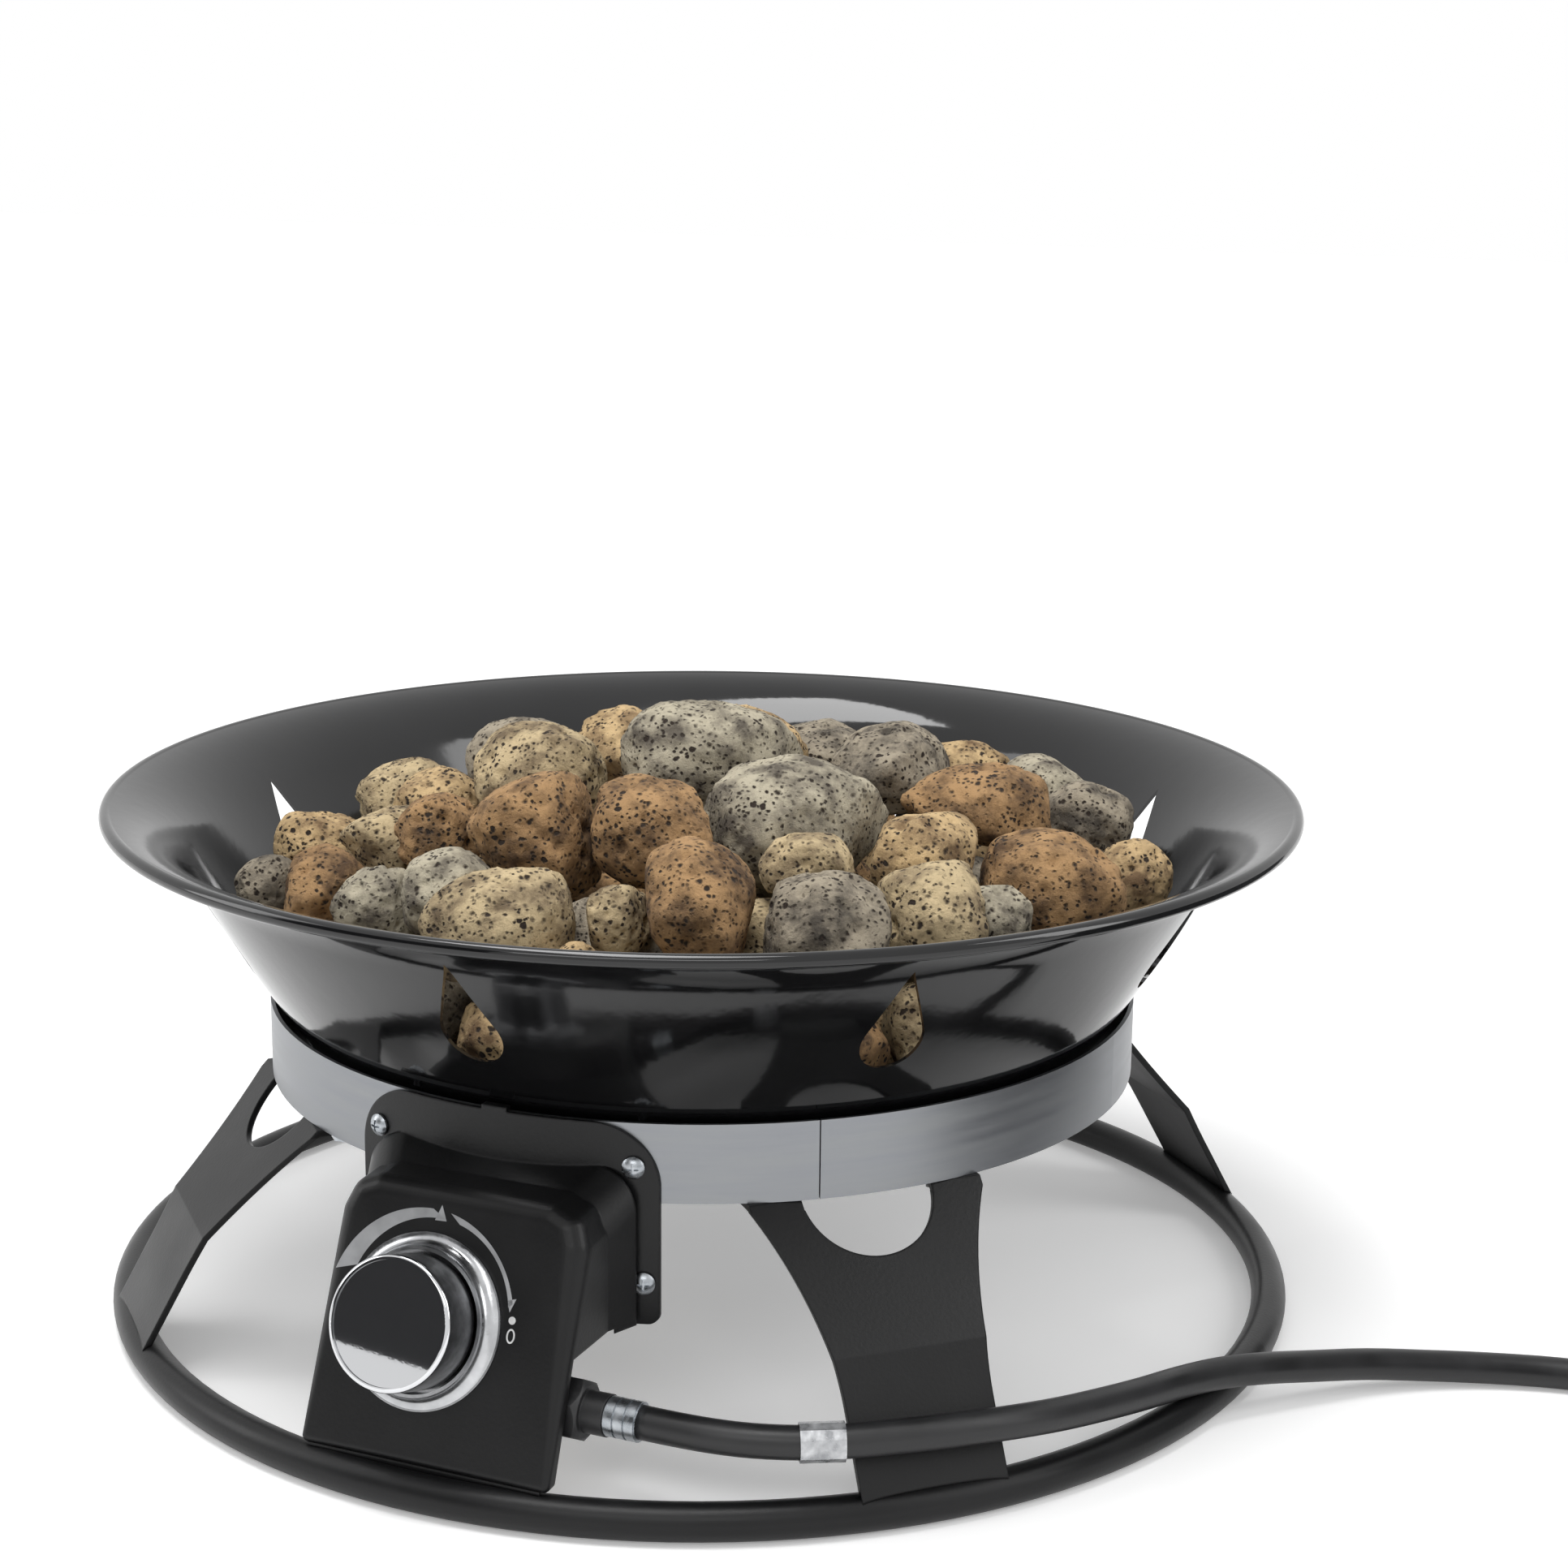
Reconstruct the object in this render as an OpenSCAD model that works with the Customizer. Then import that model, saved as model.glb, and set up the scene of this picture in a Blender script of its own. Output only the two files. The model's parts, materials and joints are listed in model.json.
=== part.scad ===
// Tabletop gas fire pit: an enamelled steel bowl of lava stones over a ring burner,
// carried by a sheet-steel band, four bent legs and a tubular base ring, with a
// push-and-turn gas control in a pressed housing and a coiled supply hose.
// Millimetres. The origin is the centre of the base ring on the ground, +Z is up,
// and the control housing faces -Y. Azimuth 0 is -Y and grows towards +X.

/* [Base] */
// Centreline radius of the tubular base ring
ring_r = 237; // [225:1:245]
// Diameter of the base ring's tube
ring_tube_d = 14; // [12:0.5:18]
// Height of the legs' top flanges above the ground
leg_h = 100; // [90:1:115]
// Thickness of the leg plate
leg_t = 2.5; // [2:0.1:3]
// Width of a leg at its foot
leg_foot_w = 56; // [44:1:60]
// Width of a leg's top flange
leg_top_w = 91; // [86:1:94]
// Diameter of the round hole at a leg's top bend
leg_hole_d = 51; // [40:1:54]
// Height of a leg's lower bend
leg_bend_z = 56; // [46:1:64]
// Radius of a leg's face at its lower bend
leg_bend_r = 215.5; // [208:0.5:219]

/* [Band and pan] */
// Clearance between the bowl's wall and the band's upper edge
band_gap = 2.75; // [1.5:0.05:5]
// Height of the band
band_h = 30; // [26:1:34]
// Sheet thickness of the band, the pan and the control housing
sheet_t = 1.5; // [1:0.1:2]
// Shank diameter of the leg bolts
bolt_d = 6; // [5:0.5:7]

/* [Bowl] */
// Diameter of the bowl over its rolled rim
rim_d = 482.6; // [470:0.1:500]
// Height of the bowl from the underside of its floor to the top of its rim
bowl_h = 109; // [104:0.5:118]
// Thickness of the bowl's sheet
bowl_t = 1.6; // [1.2:0.1:2]
// Thickness of the rolled rim
rim_roll_d = 5.6; // [4:0.1:7]
// Radius of the wall where it leaves the floor's rounding
wall_foot_r = 160; // [154:0.5:161]
// Width of the flared brim
brim_w = 33; // [28:0.5:38]
// Number of vents round the wall
vent_count = 8; // [4:1:10]
// Width of a vent
vent_w = 24; // [16:1:30]
// Height of a vent
vent_h = 43; // [32:1:46]

/* [Burner and gas line] */
// Centreline radius of the ring burner
burner_r = 75; // [70:1:78]
// Width of the burner's ring channel
burner_w = 22; // [18:0.5:24]
// Height of the burner's ring channel
burner_h = 12; // [10:0.5:14]
// Clear height from the bowl's floor to the burner ring
burner_rise = 13; // [11:0.5:14]
// Outer diameter of the riser and the mixer tube
pipe_d = 18; // [16:0.5:19]
// Wall of the riser and the mixer tube
pipe_wall = 1.5; // [1:0.1:2]

/* [Control housing] */
// Width of the housing's body
housing_w = 100; // [94:1:104]
// Height of the housing's top above the ground
housing_top = 109; // [106:0.5:112]
// Clear height between the base ring and the apron's lower edge
apron_gap = 0.6; // [0.4:0.1:4]
// How far the apron's lower edge stands inside the base ring's centreline
apron_in = 2; // [0:0.5:6]
// Lean of the front face
face_tilt = 20; // [18:0.5:22]
// Height of the lower edge of the side walls
side_wall_z = 57; // [55:0.5:62]
// Half angle of the mounting flange round the band
flange_angle = 20; // [19:0.25:21]

/* [Knob] */
// Sideways offset of the knob from the housing's middle
knob_x = -8; // [-12:0.5:-4]
// Distance of the knob's axis from the apron's lower edge, up the face
knob_up = 51; // [49:0.5:55]
// Diameter of the knob
knob_d = 48; // [42:0.5:48]
// Height of the knob's face over the housing
knob_face = 25; // [22:0.5:28]
// Travel of the knob when it is pushed
push_travel = 4; // [2:0.5:4]
// Diameter of the bezel behind the knob
bezel_d = 63; // [58:0.5:68]
// Diameter of the valve stem
stem_d = 8; // [6:0.5:8]

/* [Hose] */
// Outer diameter of the gas hose
hose_d = 12.2; // [11:0.1:12.4]
// Mean diameter of the hose's coil
coil_mean_d = 136; // [132:1:142]
// Height of the hose fitting's axis
fitting_z = 36; // [35:0.5:37]

/* [Regulator] */
// Diameter of the regulator's body
regulator_d = 60; // [50:1:66]
// Diameter of the coupling nut
coupling_d = 36; // [30:1:36]
// Diameter of the nipple's nose
nipple_d = 12.8; // [11:0.1:14]

/* [Stones] */
// Gap kept between neighbouring stones, and to what carries them
stone_gap = 0.5; // [0.3:0.1:0.8]
// Radius of the circle of the lowest stones
floor_ring_r = 118; // [112:1:122]
// Radius of the circle of the stones along the wall
wall_ring_r = 158; // [154:1:162]
// Radius of the circle of the stones over the burner
inner_ring_r = 105; // [100:1:108]

/* [Hidden] */
$fn = 96;

// Colours
ENAMEL = [0.07, 0.07, 0.075];
POWDER = [0.12, 0.12, 0.125];
BAND_GREY = [0.62, 0.62, 0.64];
CHROME = [0.83, 0.83, 0.85];
ZINC = [0.68, 0.69, 0.70];
BRASS = [0.78, 0.62, 0.32];
STEEL = [0.60, 0.60, 0.61];
RUBBER = [0.09, 0.09, 0.09];
SLEEVE = [0.75, 0.76, 0.78];
LAVA = [0.50, 0.44, 0.37];

// Clearances
seat = 0.1;       // between curved faces that bear on each other
run_fit = 0.08;   // radial, between a shaft and the bore it turns in
hole_play = 0.15; // radial, between a fastener and its hole

// --- helpers ---------------------------------------------------------------

// Turns its children to an azimuth round the axis
module at_az(a) rotate([0, 0, a]) children();

// Extrudes an outline drawn as (radius, height) sideways, facing -Y
module radial_profile(width) rotate([90, 0, -90])
    linear_extrude(width, center = true) children();

// Extrudes an outline drawn as (sideways, height) outwards, from a radius to a radius
module outward_cut(r0, r1) translate([0, -r0, 0]) rotate([90, 0, 0])
    linear_extrude(r1 - r0) children();

// A ring or disc of a given radius span, standing on z
module disc(r_in, r_out, z, h) translate([0, 0, z]) difference() {
    cylinder(r = r_out, h = h);
    if (r_in > 0) translate([0, 0, -1]) cylinder(r = r_in, h = h + 2);
}

// A hexagonal prism measured across its flats
module hex(flats, h) cylinder(d = flats / cos(30), h = h, $fn = 6);

// A rectangle whose four corners are quarter circles: true arcs, no offset
module round_rect(w, h, r_low, r_top) union() {
    translate([-w / 2, r_low]) square([w, h - r_low - r_top]);
    translate([-w / 2 + r_low, 0]) square([w - 2 * r_low, r_low + 1]);
    translate([-w / 2 + r_top, h - r_top - 1]) square([w - 2 * r_top, r_top + 1]);
    for (s = [-1, 1]) {
        translate([s * (w / 2 - r_low), r_low]) circle(r = r_low);
        translate([s * (w / 2 - r_top), h - r_top]) circle(r = r_top);
    }
}

function arc(c, r, a0, a1, n) = [for (i = [0:n]) let (a = a0 + (a1 - a0) * i / n)
    [c.x + r * cos(a), c.y + r * sin(a)]];
function reverse(list) = [for (i = [len(list) - 1:-1:0]) list[i]];
function unit(v) = v / norm(v);

// Inner side of a bent sheet: each point of the face moved by t, with mitred bends
function sheet_normal(p, q) = let (d = unit(q - p)) [-d.y, d.x];
function sheet_back(face, t) = [for (i = [0:len(face) - 1])
    let (a = i > 0 ? sheet_normal(face[i - 1], face[i]) : sheet_normal(face[0], face[1]),
         b = i < len(face) - 1 ? sheet_normal(face[i], face[i + 1]) : a)
    face[i] + t * (a + b) / (1 + a * b)];

// --- bowl's section ----------------------------------------------------------
// The wall's section runs floor, rounding, bowed wall, flared brim, each arc
// tangent to the one before. Heights here are above the floor's underside.

rim_r = rim_d / 2;
roll_r = rim_roll_d / 2;
wall_bow = 3.8;    // half the angle that the wall turns through
wall_foot_h = 9;
brim_drop = 24;
p_foot = [wall_foot_r, wall_foot_h];
p_brim = [rim_r - brim_w, bowl_h - brim_drop];
p_rim = [rim_r - roll_r, bowl_h - bowl_t - 0.2];
wall_lean = atan2(p_brim.x - p_foot.x, p_brim.y - p_foot.y);
lean_low = wall_lean + wall_bow;
lean_high = wall_lean - wall_bow;
foot_arc_r = wall_foot_h / (1 - sin(lean_low));
foot_c = [wall_foot_r - foot_arc_r * cos(lean_low), foot_arc_r];
wall_arc_r = norm(p_brim - p_foot) / (2 * sin(wall_bow));
wall_c = p_foot - wall_arc_r * [cos(lean_low), -sin(lean_low)];
brim_turn = atan2(p_rim.x - p_brim.x, p_rim.y - p_brim.y) - lean_high;
brim_arc_r = norm(p_rim - p_brim) / (2 * sin(brim_turn));
brim_c = p_brim + brim_arc_r * [cos(lean_high), -sin(lean_high)];

function bowl_side(t) = concat(
    arc(foot_c, foot_arc_r - t, -90, -lean_low, 8),
    arc(wall_c, wall_arc_r - t, -lean_low, -lean_high, 8),
    arc(brim_c, brim_arc_r + t, 180 - lean_high, 180 - lean_high - 2 * brim_turn, 10));
function wall_r(h, t) = wall_c.x + sqrt(pow(wall_arc_r - t, 2) - pow(h - wall_c.y, 2));
function bowl_inner_r(h) = h < wall_foot_h
    ? foot_c.x + sqrt(max(0, pow(foot_arc_r - bowl_t, 2) - pow(min(0, h - foot_c.y), 2)))
    : wall_r(h, bowl_t);

// --- base ------------------------------------------------------------------

ring_tube_r = ring_tube_d / 2;
band_r = wall_r(band_h - 2 * sheet_t, 0) + band_gap + sheet_t;
lip_in_r = band_r - 19;      // inner edge of the band's turned-in lip
bolt_r = bolt_d / 2;
bolt_radial = band_r - 17;   // distance of a leg's bolts from the axis, along the leg
bolt_side = (leg_hole_d / 2 + leg_top_w / 2) / 2;
bolt_head_r = bolt_r + 2.4;
bolt_head_h = 3.6;
nut_h = 5;
leg_top_r = band_r - 3.7;    // radius of the top bend
leg_flange_in = band_r - 45; // inner end of the top flange
leg_foot_r = ring_r + ring_tube_r * 0.63;
leg_foot_z = ring_tube_r * 1.43;
pan_z = leg_h + sheet_t;
pan_top = pan_z + sheet_t;
leg_top_z = leg_h - seat;    // upper face of the legs' flanges
drain_r = 110;
drain_hole_r = 4;

module base_ring() color(POWDER)
    translate([0, 0, ring_tube_r]) rotate_extrude()
        translate([ring_r, 0]) circle(r = ring_tube_r, $fn = 48);

// Outline of a leg seen from outside: straight foot, concave sides, wide top
module leg_outline() {
    narrow_z = leg_h * 0.38;
    rise = leg_h - 3 - narrow_z;
    spread = (leg_top_w - leg_foot_w) / 2;
    side_r = (rise * rise + spread * spread) / (2 * spread);
    difference() {
        translate([-leg_top_w / 2, 0]) square([leg_top_w, leg_h + 1]);
        for (s = [-1, 1]) {
            translate([s * (leg_foot_w / 2 + side_r), narrow_z]) circle(r = side_r, $fn = 180);
            translate([s * leg_foot_w / 2 + (s < 0 ? -side_r : 0), -1])
                square([side_r, narrow_z + 1]);
        }
    }
}

leg_face = [[leg_foot_r, leg_foot_z], [leg_bend_r, leg_bend_z],
    [leg_top_r, leg_top_z], [leg_flange_in, leg_top_z]];

module leg(az) at_az(az) color(POWDER) difference() {
    intersection() {
        radial_profile(leg_top_w) polygon(concat(leg_face, reverse(sheet_back(leg_face, leg_t))));
        outward_cut(leg_flange_in - 1, ring_r + 20) leg_outline();
    }
    // the big hole runs over the top bend: square to the slope below it, upright above it
    slope = unit(leg_face[1] - leg_face[2]);
    translate([0, -leg_top_r, leg_h]) rotate([atan2(slope.x, slope.y) - 90, 0, 0])
        translate([0, 0, -7]) cylinder(d = leg_hole_d, h = 14);
    translate([0, -leg_top_r, leg_h - leg_t - 1]) cylinder(d = leg_hole_d, h = leg_t + 2);
    for (s = [-1, 1]) translate([s * bolt_side, -bolt_radial, leg_h - leg_t - 1])
        cylinder(r = bolt_r + hole_play, h = leg_t + 2);
    // the foot is coped to the tube it is welded on
    at_az(-az) translate([0, 0, ring_tube_r]) rotate_extrude()
        translate([ring_r, 0]) circle(r = ring_tube_r + seat, $fn = 48);
}

module at_leg_bolts() for (az = [-135:90:135]) at_az(az)
    for (s = [-1, 1]) translate([s * bolt_side, -bolt_radial, 0]) children();

module leg_bolts() color(ZINC) at_leg_bolts() {
    bolt_low = leg_top_z - leg_t - nut_h - 1;
    translate([0, 0, bolt_low]) cylinder(r = bolt_r, h = pan_top - bolt_low);
    translate([0, 0, pan_top]) rotate_extrude() intersection() {
        translate([0, bolt_head_h - bolt_head_r * 1.6]) circle(r = bolt_head_r * 1.6);
        square([bolt_head_r, bolt_head_h]);
    }
}

module leg_nuts() color(ZINC) at_leg_bolts() translate([0, 0, leg_top_z - leg_t - nut_h])
    difference() {
        hex(bolt_d + 4, nut_h);
        translate([0, 0, -1]) cylinder(r = bolt_r + hole_play, h = nut_h + 2);
    }

// --- band and pan ----------------------------------------------------------

screw_r = 2;
screw_high = [17, leg_h + band_h / 2 - 1]; // azimuth and height of the upper flange screws
screw_low = [18.2, side_wall_z + 13];      // and of the lower ones, below the band
seam_az = 38.7;
seam_w = 0.5;

module at_screws(heights) for (s = [-1, 1]) for (p = heights)
    at_az(s * p.x) translate([0, -band_r, p.y]) rotate([90, 0, 0]) children();

module base_band() color(BAND_GREY) difference() {
    rotate_extrude() {
        translate([band_r - sheet_t, leg_h]) square([sheet_t, band_h]);
        translate([lip_in_r, leg_h]) square([band_r - lip_in_r, sheet_t]);
    }
    at_az(seam_az) translate([-seam_w / 2, -band_r - 1, leg_h - 1])
        cube([seam_w, band_r - lip_in_r + 2, band_h + 2]);
    at_leg_bolts() translate([0, 0, leg_h - 1]) cylinder(r = bolt_r + hole_play, h = sheet_t + 2);
    at_screws([screw_high]) translate([0, 0, -5]) cylinder(r = screw_r + hole_play, h = 10, $fn = 32);
}

module base_pan() color(POWDER) difference() {
    disc(pipe_d / 2 + 0.3, band_r - sheet_t - 2 * seat, pan_z, sheet_t);
    at_leg_bolts() translate([0, 0, pan_z - 1]) cylinder(r = bolt_r + hole_play, h = sheet_t + 2);
    for (a = [0:90:270]) at_az(a) translate([0, -drain_r, pan_z - 1])
        cylinder(r = drain_hole_r, h = sheet_t + 2, $fn = 32);
}

// --- bowl ------------------------------------------------------------------

bowl_z = pan_top;
vent_foot = 48;
module vent_outline() {
    r = vent_w / 2;
    tip = vent_h - r;
    touch = acos(r / tip);
    polygon(concat([[0, tip]], arc([0, 0], r, 90 + touch, 450 - touch, 24)));
}

module fire_bowl() color(ENAMEL) difference() {
    translate([0, 0, bowl_z]) rotate_extrude($fn = 180) {
        polygon(concat([[pipe_d / 2 + 0.3, 0]], bowl_side(0), reverse(bowl_side(bowl_t)),
            [[pipe_d / 2 + 0.3, bowl_t]]));
        translate([rim_r - roll_r, bowl_h - roll_r]) circle(r = roll_r, $fn = 32);
    }
    for (i = [0:vent_count - 1]) at_az(i * 360 / vent_count)
        translate([0, 0, bowl_z + vent_foot + vent_w / 2]) outward_cut(wall_foot_r, rim_r)
            vent_outline();
    for (a = [0:90:270]) at_az(a) translate([0, -drain_r, bowl_z - 1])
        cylinder(r = drain_hole_r, h = bowl_t + 2, $fn = 32);
}

// --- burner ----------------------------------------------------------------

pipe_r = pipe_d / 2;
pipe_bore_r = pipe_r - pipe_wall;
bowl_floor = bowl_z + bowl_t;
burner_z = bowl_floor + burner_rise;
burner_top = burner_z + burner_h;
burner_out_r = burner_r + burner_w / 2;
burner_in_r = burner_r - burner_w / 2;
burner_wall = 1.2;
hub_r = pipe_r + 5;
bar_w = 16;
port_count = 24;
port_r = 1.2;
lock_nut_h = 5;
hub_z = bowl_floor + lock_nut_h + 0.4;

module burner_solid(in) {
    disc(burner_in_r + in, burner_out_r - in, burner_z + in, burner_h - 2 * in);
    translate([-burner_r, -bar_w / 2 + in, burner_z + 1 + in])
        cube([2 * burner_r, bar_w - 2 * in, burner_h - 2 - 2 * in]);
}

module burner_ring() color(STEEL) difference() {
    union() {
        burner_solid(0);
        translate([0, 0, hub_z]) cylinder(r = hub_r, h = burner_top - hub_z);
    }
    burner_solid(burner_wall);
    translate([0, 0, hub_z - 1]) cylinder(r = pipe_r + 0.05, h = 9);
    translate([0, 0, hub_z]) cylinder(r = pipe_bore_r, h = burner_top - hub_z - burner_wall);
    for (i = [0:port_count - 1]) at_az((i + 0.5) * 360 / port_count)
        translate([0, -burner_r, burner_top - 3]) cylinder(r = port_r, h = 4, $fn = 16);
}

gas_z_drop = 16;   // the valve's middle lies this far behind the housing's face
apron_z = ring_tube_d + apron_gap;
apron_h = ring_r - apron_in;
face_n = [0, -cos(face_tilt), sin(face_tilt)];
face_up = [0, sin(face_tilt), cos(face_tilt)];
knob_c = [knob_x, -apron_h, apron_z] + knob_up * face_up;
valve_c = knob_c - gas_z_drop * face_n;
line_z = valve_c.z;
line_len = norm([valve_c.x, valve_c.y]);
line_yaw = atan2(valve_c.x, -valve_c.y);

// Frame of the gas line: x runs from the riser's axis out to the valve
module on_gas_line() translate([0, 0, line_z]) rotate([0, 0, line_yaw - 90]) children();
module pipe(r, bore, x0, x1) translate([x0, 0, 0]) rotate([0, 90, 0]) difference() {
    cylinder(r = r, h = x1 - x0);
    translate([0, 0, -1]) cylinder(r = bore, h = x1 - x0 + 2);
}

elbow_r = pipe_r + 2.5;
elbow_arm = elbow_r + 9;
socket_depth = 8;
riser_low = line_z + elbow_arm - socket_depth;
riser_high = hub_z + socket_depth - 0.1;

module riser_pipe() color(STEEL) disc(pipe_bore_r, pipe_r, riser_low, riser_high - riser_low);

module bulkhead_nuts() color(ZINC) for (z = [pan_z - lock_nut_h, bowl_floor])
    translate([0, 0, z]) difference() {
        hex(pipe_d + 9, lock_nut_h);
        translate([0, 0, -1]) cylinder(r = pipe_r + 0.05, h = lock_nut_h + 2);
    }

module burner_elbow() color(ZINC) on_gas_line() difference() {
    union() {
        sphere(r = elbow_r);
        cylinder(r = elbow_r, h = elbow_arm);
        rotate([0, 90, 0]) cylinder(r = elbow_r, h = elbow_arm);
    }
    cylinder(r = pipe_bore_r, h = elbow_arm + 1);
    rotate([0, 90, 0]) cylinder(r = pipe_bore_r, h = elbow_arm + 1);
    translate([0, 0, elbow_arm - socket_depth]) cylinder(r = pipe_r + 0.05, h = socket_depth + 1);
    translate([elbow_arm - socket_depth, 0, 0]) rotate([0, 90, 0])
        cylinder(r = pipe_r + 0.05, h = socket_depth + 1);
}

boss_len = 24;        // reach of the valve's outlet boss from the valve's middle
jet_len = 14;
jet_x = line_len - boss_len - jet_len;
mixer_mouth = jet_x + 6;
mixer_bell = 12;

module mixer_tube() color(STEEL) on_gas_line() difference() {
    union() {
        pipe(pipe_r, pipe_bore_r, elbow_arm - socket_depth, mixer_mouth - mixer_bell + 1);
        translate([mixer_mouth - mixer_bell, 0, 0]) rotate([0, 90, 0]) rotate_extrude()
            polygon([[pipe_bore_r, 0], [pipe_r, 0], [pipe_r + 3, mixer_bell],
                [pipe_bore_r + 3, mixer_bell]]);
    }
    // air holes round the tube behind the bell
    for (a = [0:90:270]) translate([mixer_mouth - mixer_bell - 14, 0, 0]) rotate([a, 0, 0])
        cylinder(r = 4, h = pipe_r + 2, $fn = 32);
}

module gas_jet() color(BRASS) on_gas_line() difference() {
    union() {
        translate([jet_x + 5, 0, 0]) rotate([0, 90, 0]) hex(11, jet_len - 5);
        translate([jet_x, 0, 0]) rotate([0, 90, 0]) cylinder(r1 = 2.5, r2 = 4.5, h = 5.5);
    }
    translate([jet_x - 1, 0, 0]) rotate([0, 90, 0]) cylinder(r = 0.7, h = jet_len + 2, $fn = 16);
}

// --- valve and knob ----------------------------------------------------------

stem_r = stem_d / 2;
stem_flat = stem_r * 0.72;
valve_r = 13;
valve_len = 30;
bushing_r = stem_r + 3.6;
valve_nut_h = 3;
bezel_floor = 1.2;
bezel_neck_h = 6.5;
knob_back = push_travel + 2.5;
knob_r = knob_d / 2;
plug_r = 7;
plug_len = 13;
plug_back = 17;       // depth of the plug's far end behind the face
inlet_in = 27;        // the hose fitting's axis lies this far behind the apron's lower edge
inlet_y = inlet_in - apron_h;
inlet_boss_z = fitting_z + 6.8;
bushing_front = bezel_floor + valve_nut_h + 0.6;
collar_t = 1.2;
collar_z = bushing_front + push_travel + 0.3;

// Frame of the control: z points out of the housing's face, y up along it
module on_face() translate(knob_c) rotate([90 - face_tilt, 0, 0]) children();

// A round shaft or hole with a flat on its upper side
module d_shape(r, flat) intersection() {
    circle(r = r, $fn = 48);
    translate([-r, -r]) square([2 * r, r + flat]);
}

module valve_body() color(BRASS) difference() {
    union() {
        on_face() {
            translate([0, 0, -valve_len]) cylinder(r = valve_r, h = valve_len - sheet_t - 0.05);
            translate([0, 0, -sheet_t - 1]) cylinder(r = bushing_r, h = sheet_t + 1 + bushing_front);
        }
        on_gas_line() translate([line_len - boss_len, 0, 0]) rotate([0, 90, 0])
            cylinder(r = 7, h = boss_len);
        translate([knob_x, inlet_y, inlet_boss_z]) cylinder(r = 7.5, h = knob_c.z - inlet_boss_z);
    }
    on_face() {
        translate([0, 0, -plug_back]) cylinder(r = stem_r + run_fit, h = plug_back + 8);
        translate([0, 0, -plug_back - 0.1]) cylinder(r = plug_r + run_fit, h = plug_len + 0.2);
    }
    // gas ways from the inlet to the plug and from the plug to the jet
    translate([knob_x, inlet_y, inlet_boss_z - 1]) cylinder(r = 5.05, h = 8);
    translate([knob_x, inlet_y, inlet_boss_z])
        cylinder(r = 2, h = knob_c.z - inlet_boss_z - 8, $fn = 24);
    on_gas_line() translate([line_len - boss_len - 1, 0, 0]) rotate([0, 90, 0])
        cylinder(r = 2, h = boss_len, $fn = 24);
}

module valve_plug() color(BRASS) on_face() translate([0, 0, -plug_back]) difference() {
    cylinder(r = plug_r, h = plug_len);
    translate([0, 0, -1]) linear_extrude(plug_len + 2)
        d_shape(stem_r + 0.05, stem_flat + 0.05);
    translate([0, 0, plug_len / 2]) rotate([0, 90, 0]) translate([0, 0, -plug_r - 1])
        cylinder(r = 1.5, h = 2 * plug_r + 2, $fn = 24);
}

// Washer between the knob's boss and the bushing: it slides with the stem and doesn't turn
module stem_collar() color(STEEL) on_face() disc(stem_r + run_fit, bushing_r - 1, collar_z, collar_t);

stem_back = plug_back - push_travel - 1;
stem_front = knob_face - 7;
module valve_stem() color(BRASS) on_face() translate([0, 0, -stem_back])
    linear_extrude(stem_back + stem_front) d_shape(stem_r, stem_flat);

module valve_nut() color(ZINC) on_face() translate([0, 0, bezel_floor + seat]) difference() {
    hex(2 * bushing_r + 5, valve_nut_h);
    translate([0, 0, -1]) cylinder(r = bushing_r + 0.05, h = valve_nut_h + 2);
}

module knob_bezel() color(CHROME) on_face() rotate_extrude() {
    r_out = bezel_d / 2;
    r_neck = knob_r + 1.2;
    flare = min(bezel_neck_h - bezel_floor, r_out - r_neck - 1.4);
    translate([bushing_r + hole_play, 0.05]) square([r_out - bushing_r - hole_play, bezel_floor]);
    neck_h = bezel_neck_h - bezel_floor;
    difference() {
        translate([r_neck, bezel_floor - 0.5]) square([r_out - r_neck - 0.3, neck_h + 0.5]);
        translate([r_out, bezel_neck_h]) scale([(r_out - r_neck - 1.2) / flare, neck_h / flare])
            circle(r = flare, $fn = 64);
    }
}

module control_knob() color(CHROME) on_face() difference() {
    rotate_extrude() {
        round_r = 1.6;
        translate([0, knob_face - 3]) square([knob_r - round_r, 3]);
        translate([0, knob_back]) square([knob_r, knob_face - knob_back - round_r]);
        translate([knob_r - round_r, knob_face - round_r]) circle(r = round_r, $fn = 32);
    }
    // shallow dish in the face, inside a raised edge
    translate([0, 0, knob_face - 0.6]) cylinder(r = knob_r - 2, h = 1);
    // hollow behind, round the boss that grips the stem
    difference() {
        translate([0, 0, knob_back - 1]) cylinder(r = knob_r - 2.2, h = knob_face - knob_back - 3);
        translate([0, 0, collar_z + collar_t + 0.1]) cylinder(r = stem_r + 3, h = knob_face);
    }
    linear_extrude(stem_front + 0.1) d_shape(stem_r + 0.04, stem_flat + 0.04);
}

// --- control housing -----------------------------------------------------------
// A pressed steel cover: a flange curved to the band, a hood, and a leaning front
// that runs down as an apron over the base ring. Its skin is the space between
// two rounded forms with the same ball centres.

half_w = housing_w / 2;
hood_round = 16;
edge_round = 8;
apron_round = 2.5;
apron_return = 6;
flange_r = band_r + seat;
flange_z = side_wall_z - 3;
flange_top = leg_h + band_h;
hook_w = 10;
flare_w = 5;
hood_back = band_r - 20;
face_offset = apron_h * cos(face_tilt) + apron_z * sin(face_tilt);
function face_h(z, r) = (face_offset - r - z * sin(face_tilt)) / cos(face_tilt);

module face_ball(x, z, r, inset) translate([x, -face_h(z, r), z]) sphere(r = r - inset, $fn = 32);

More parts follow.
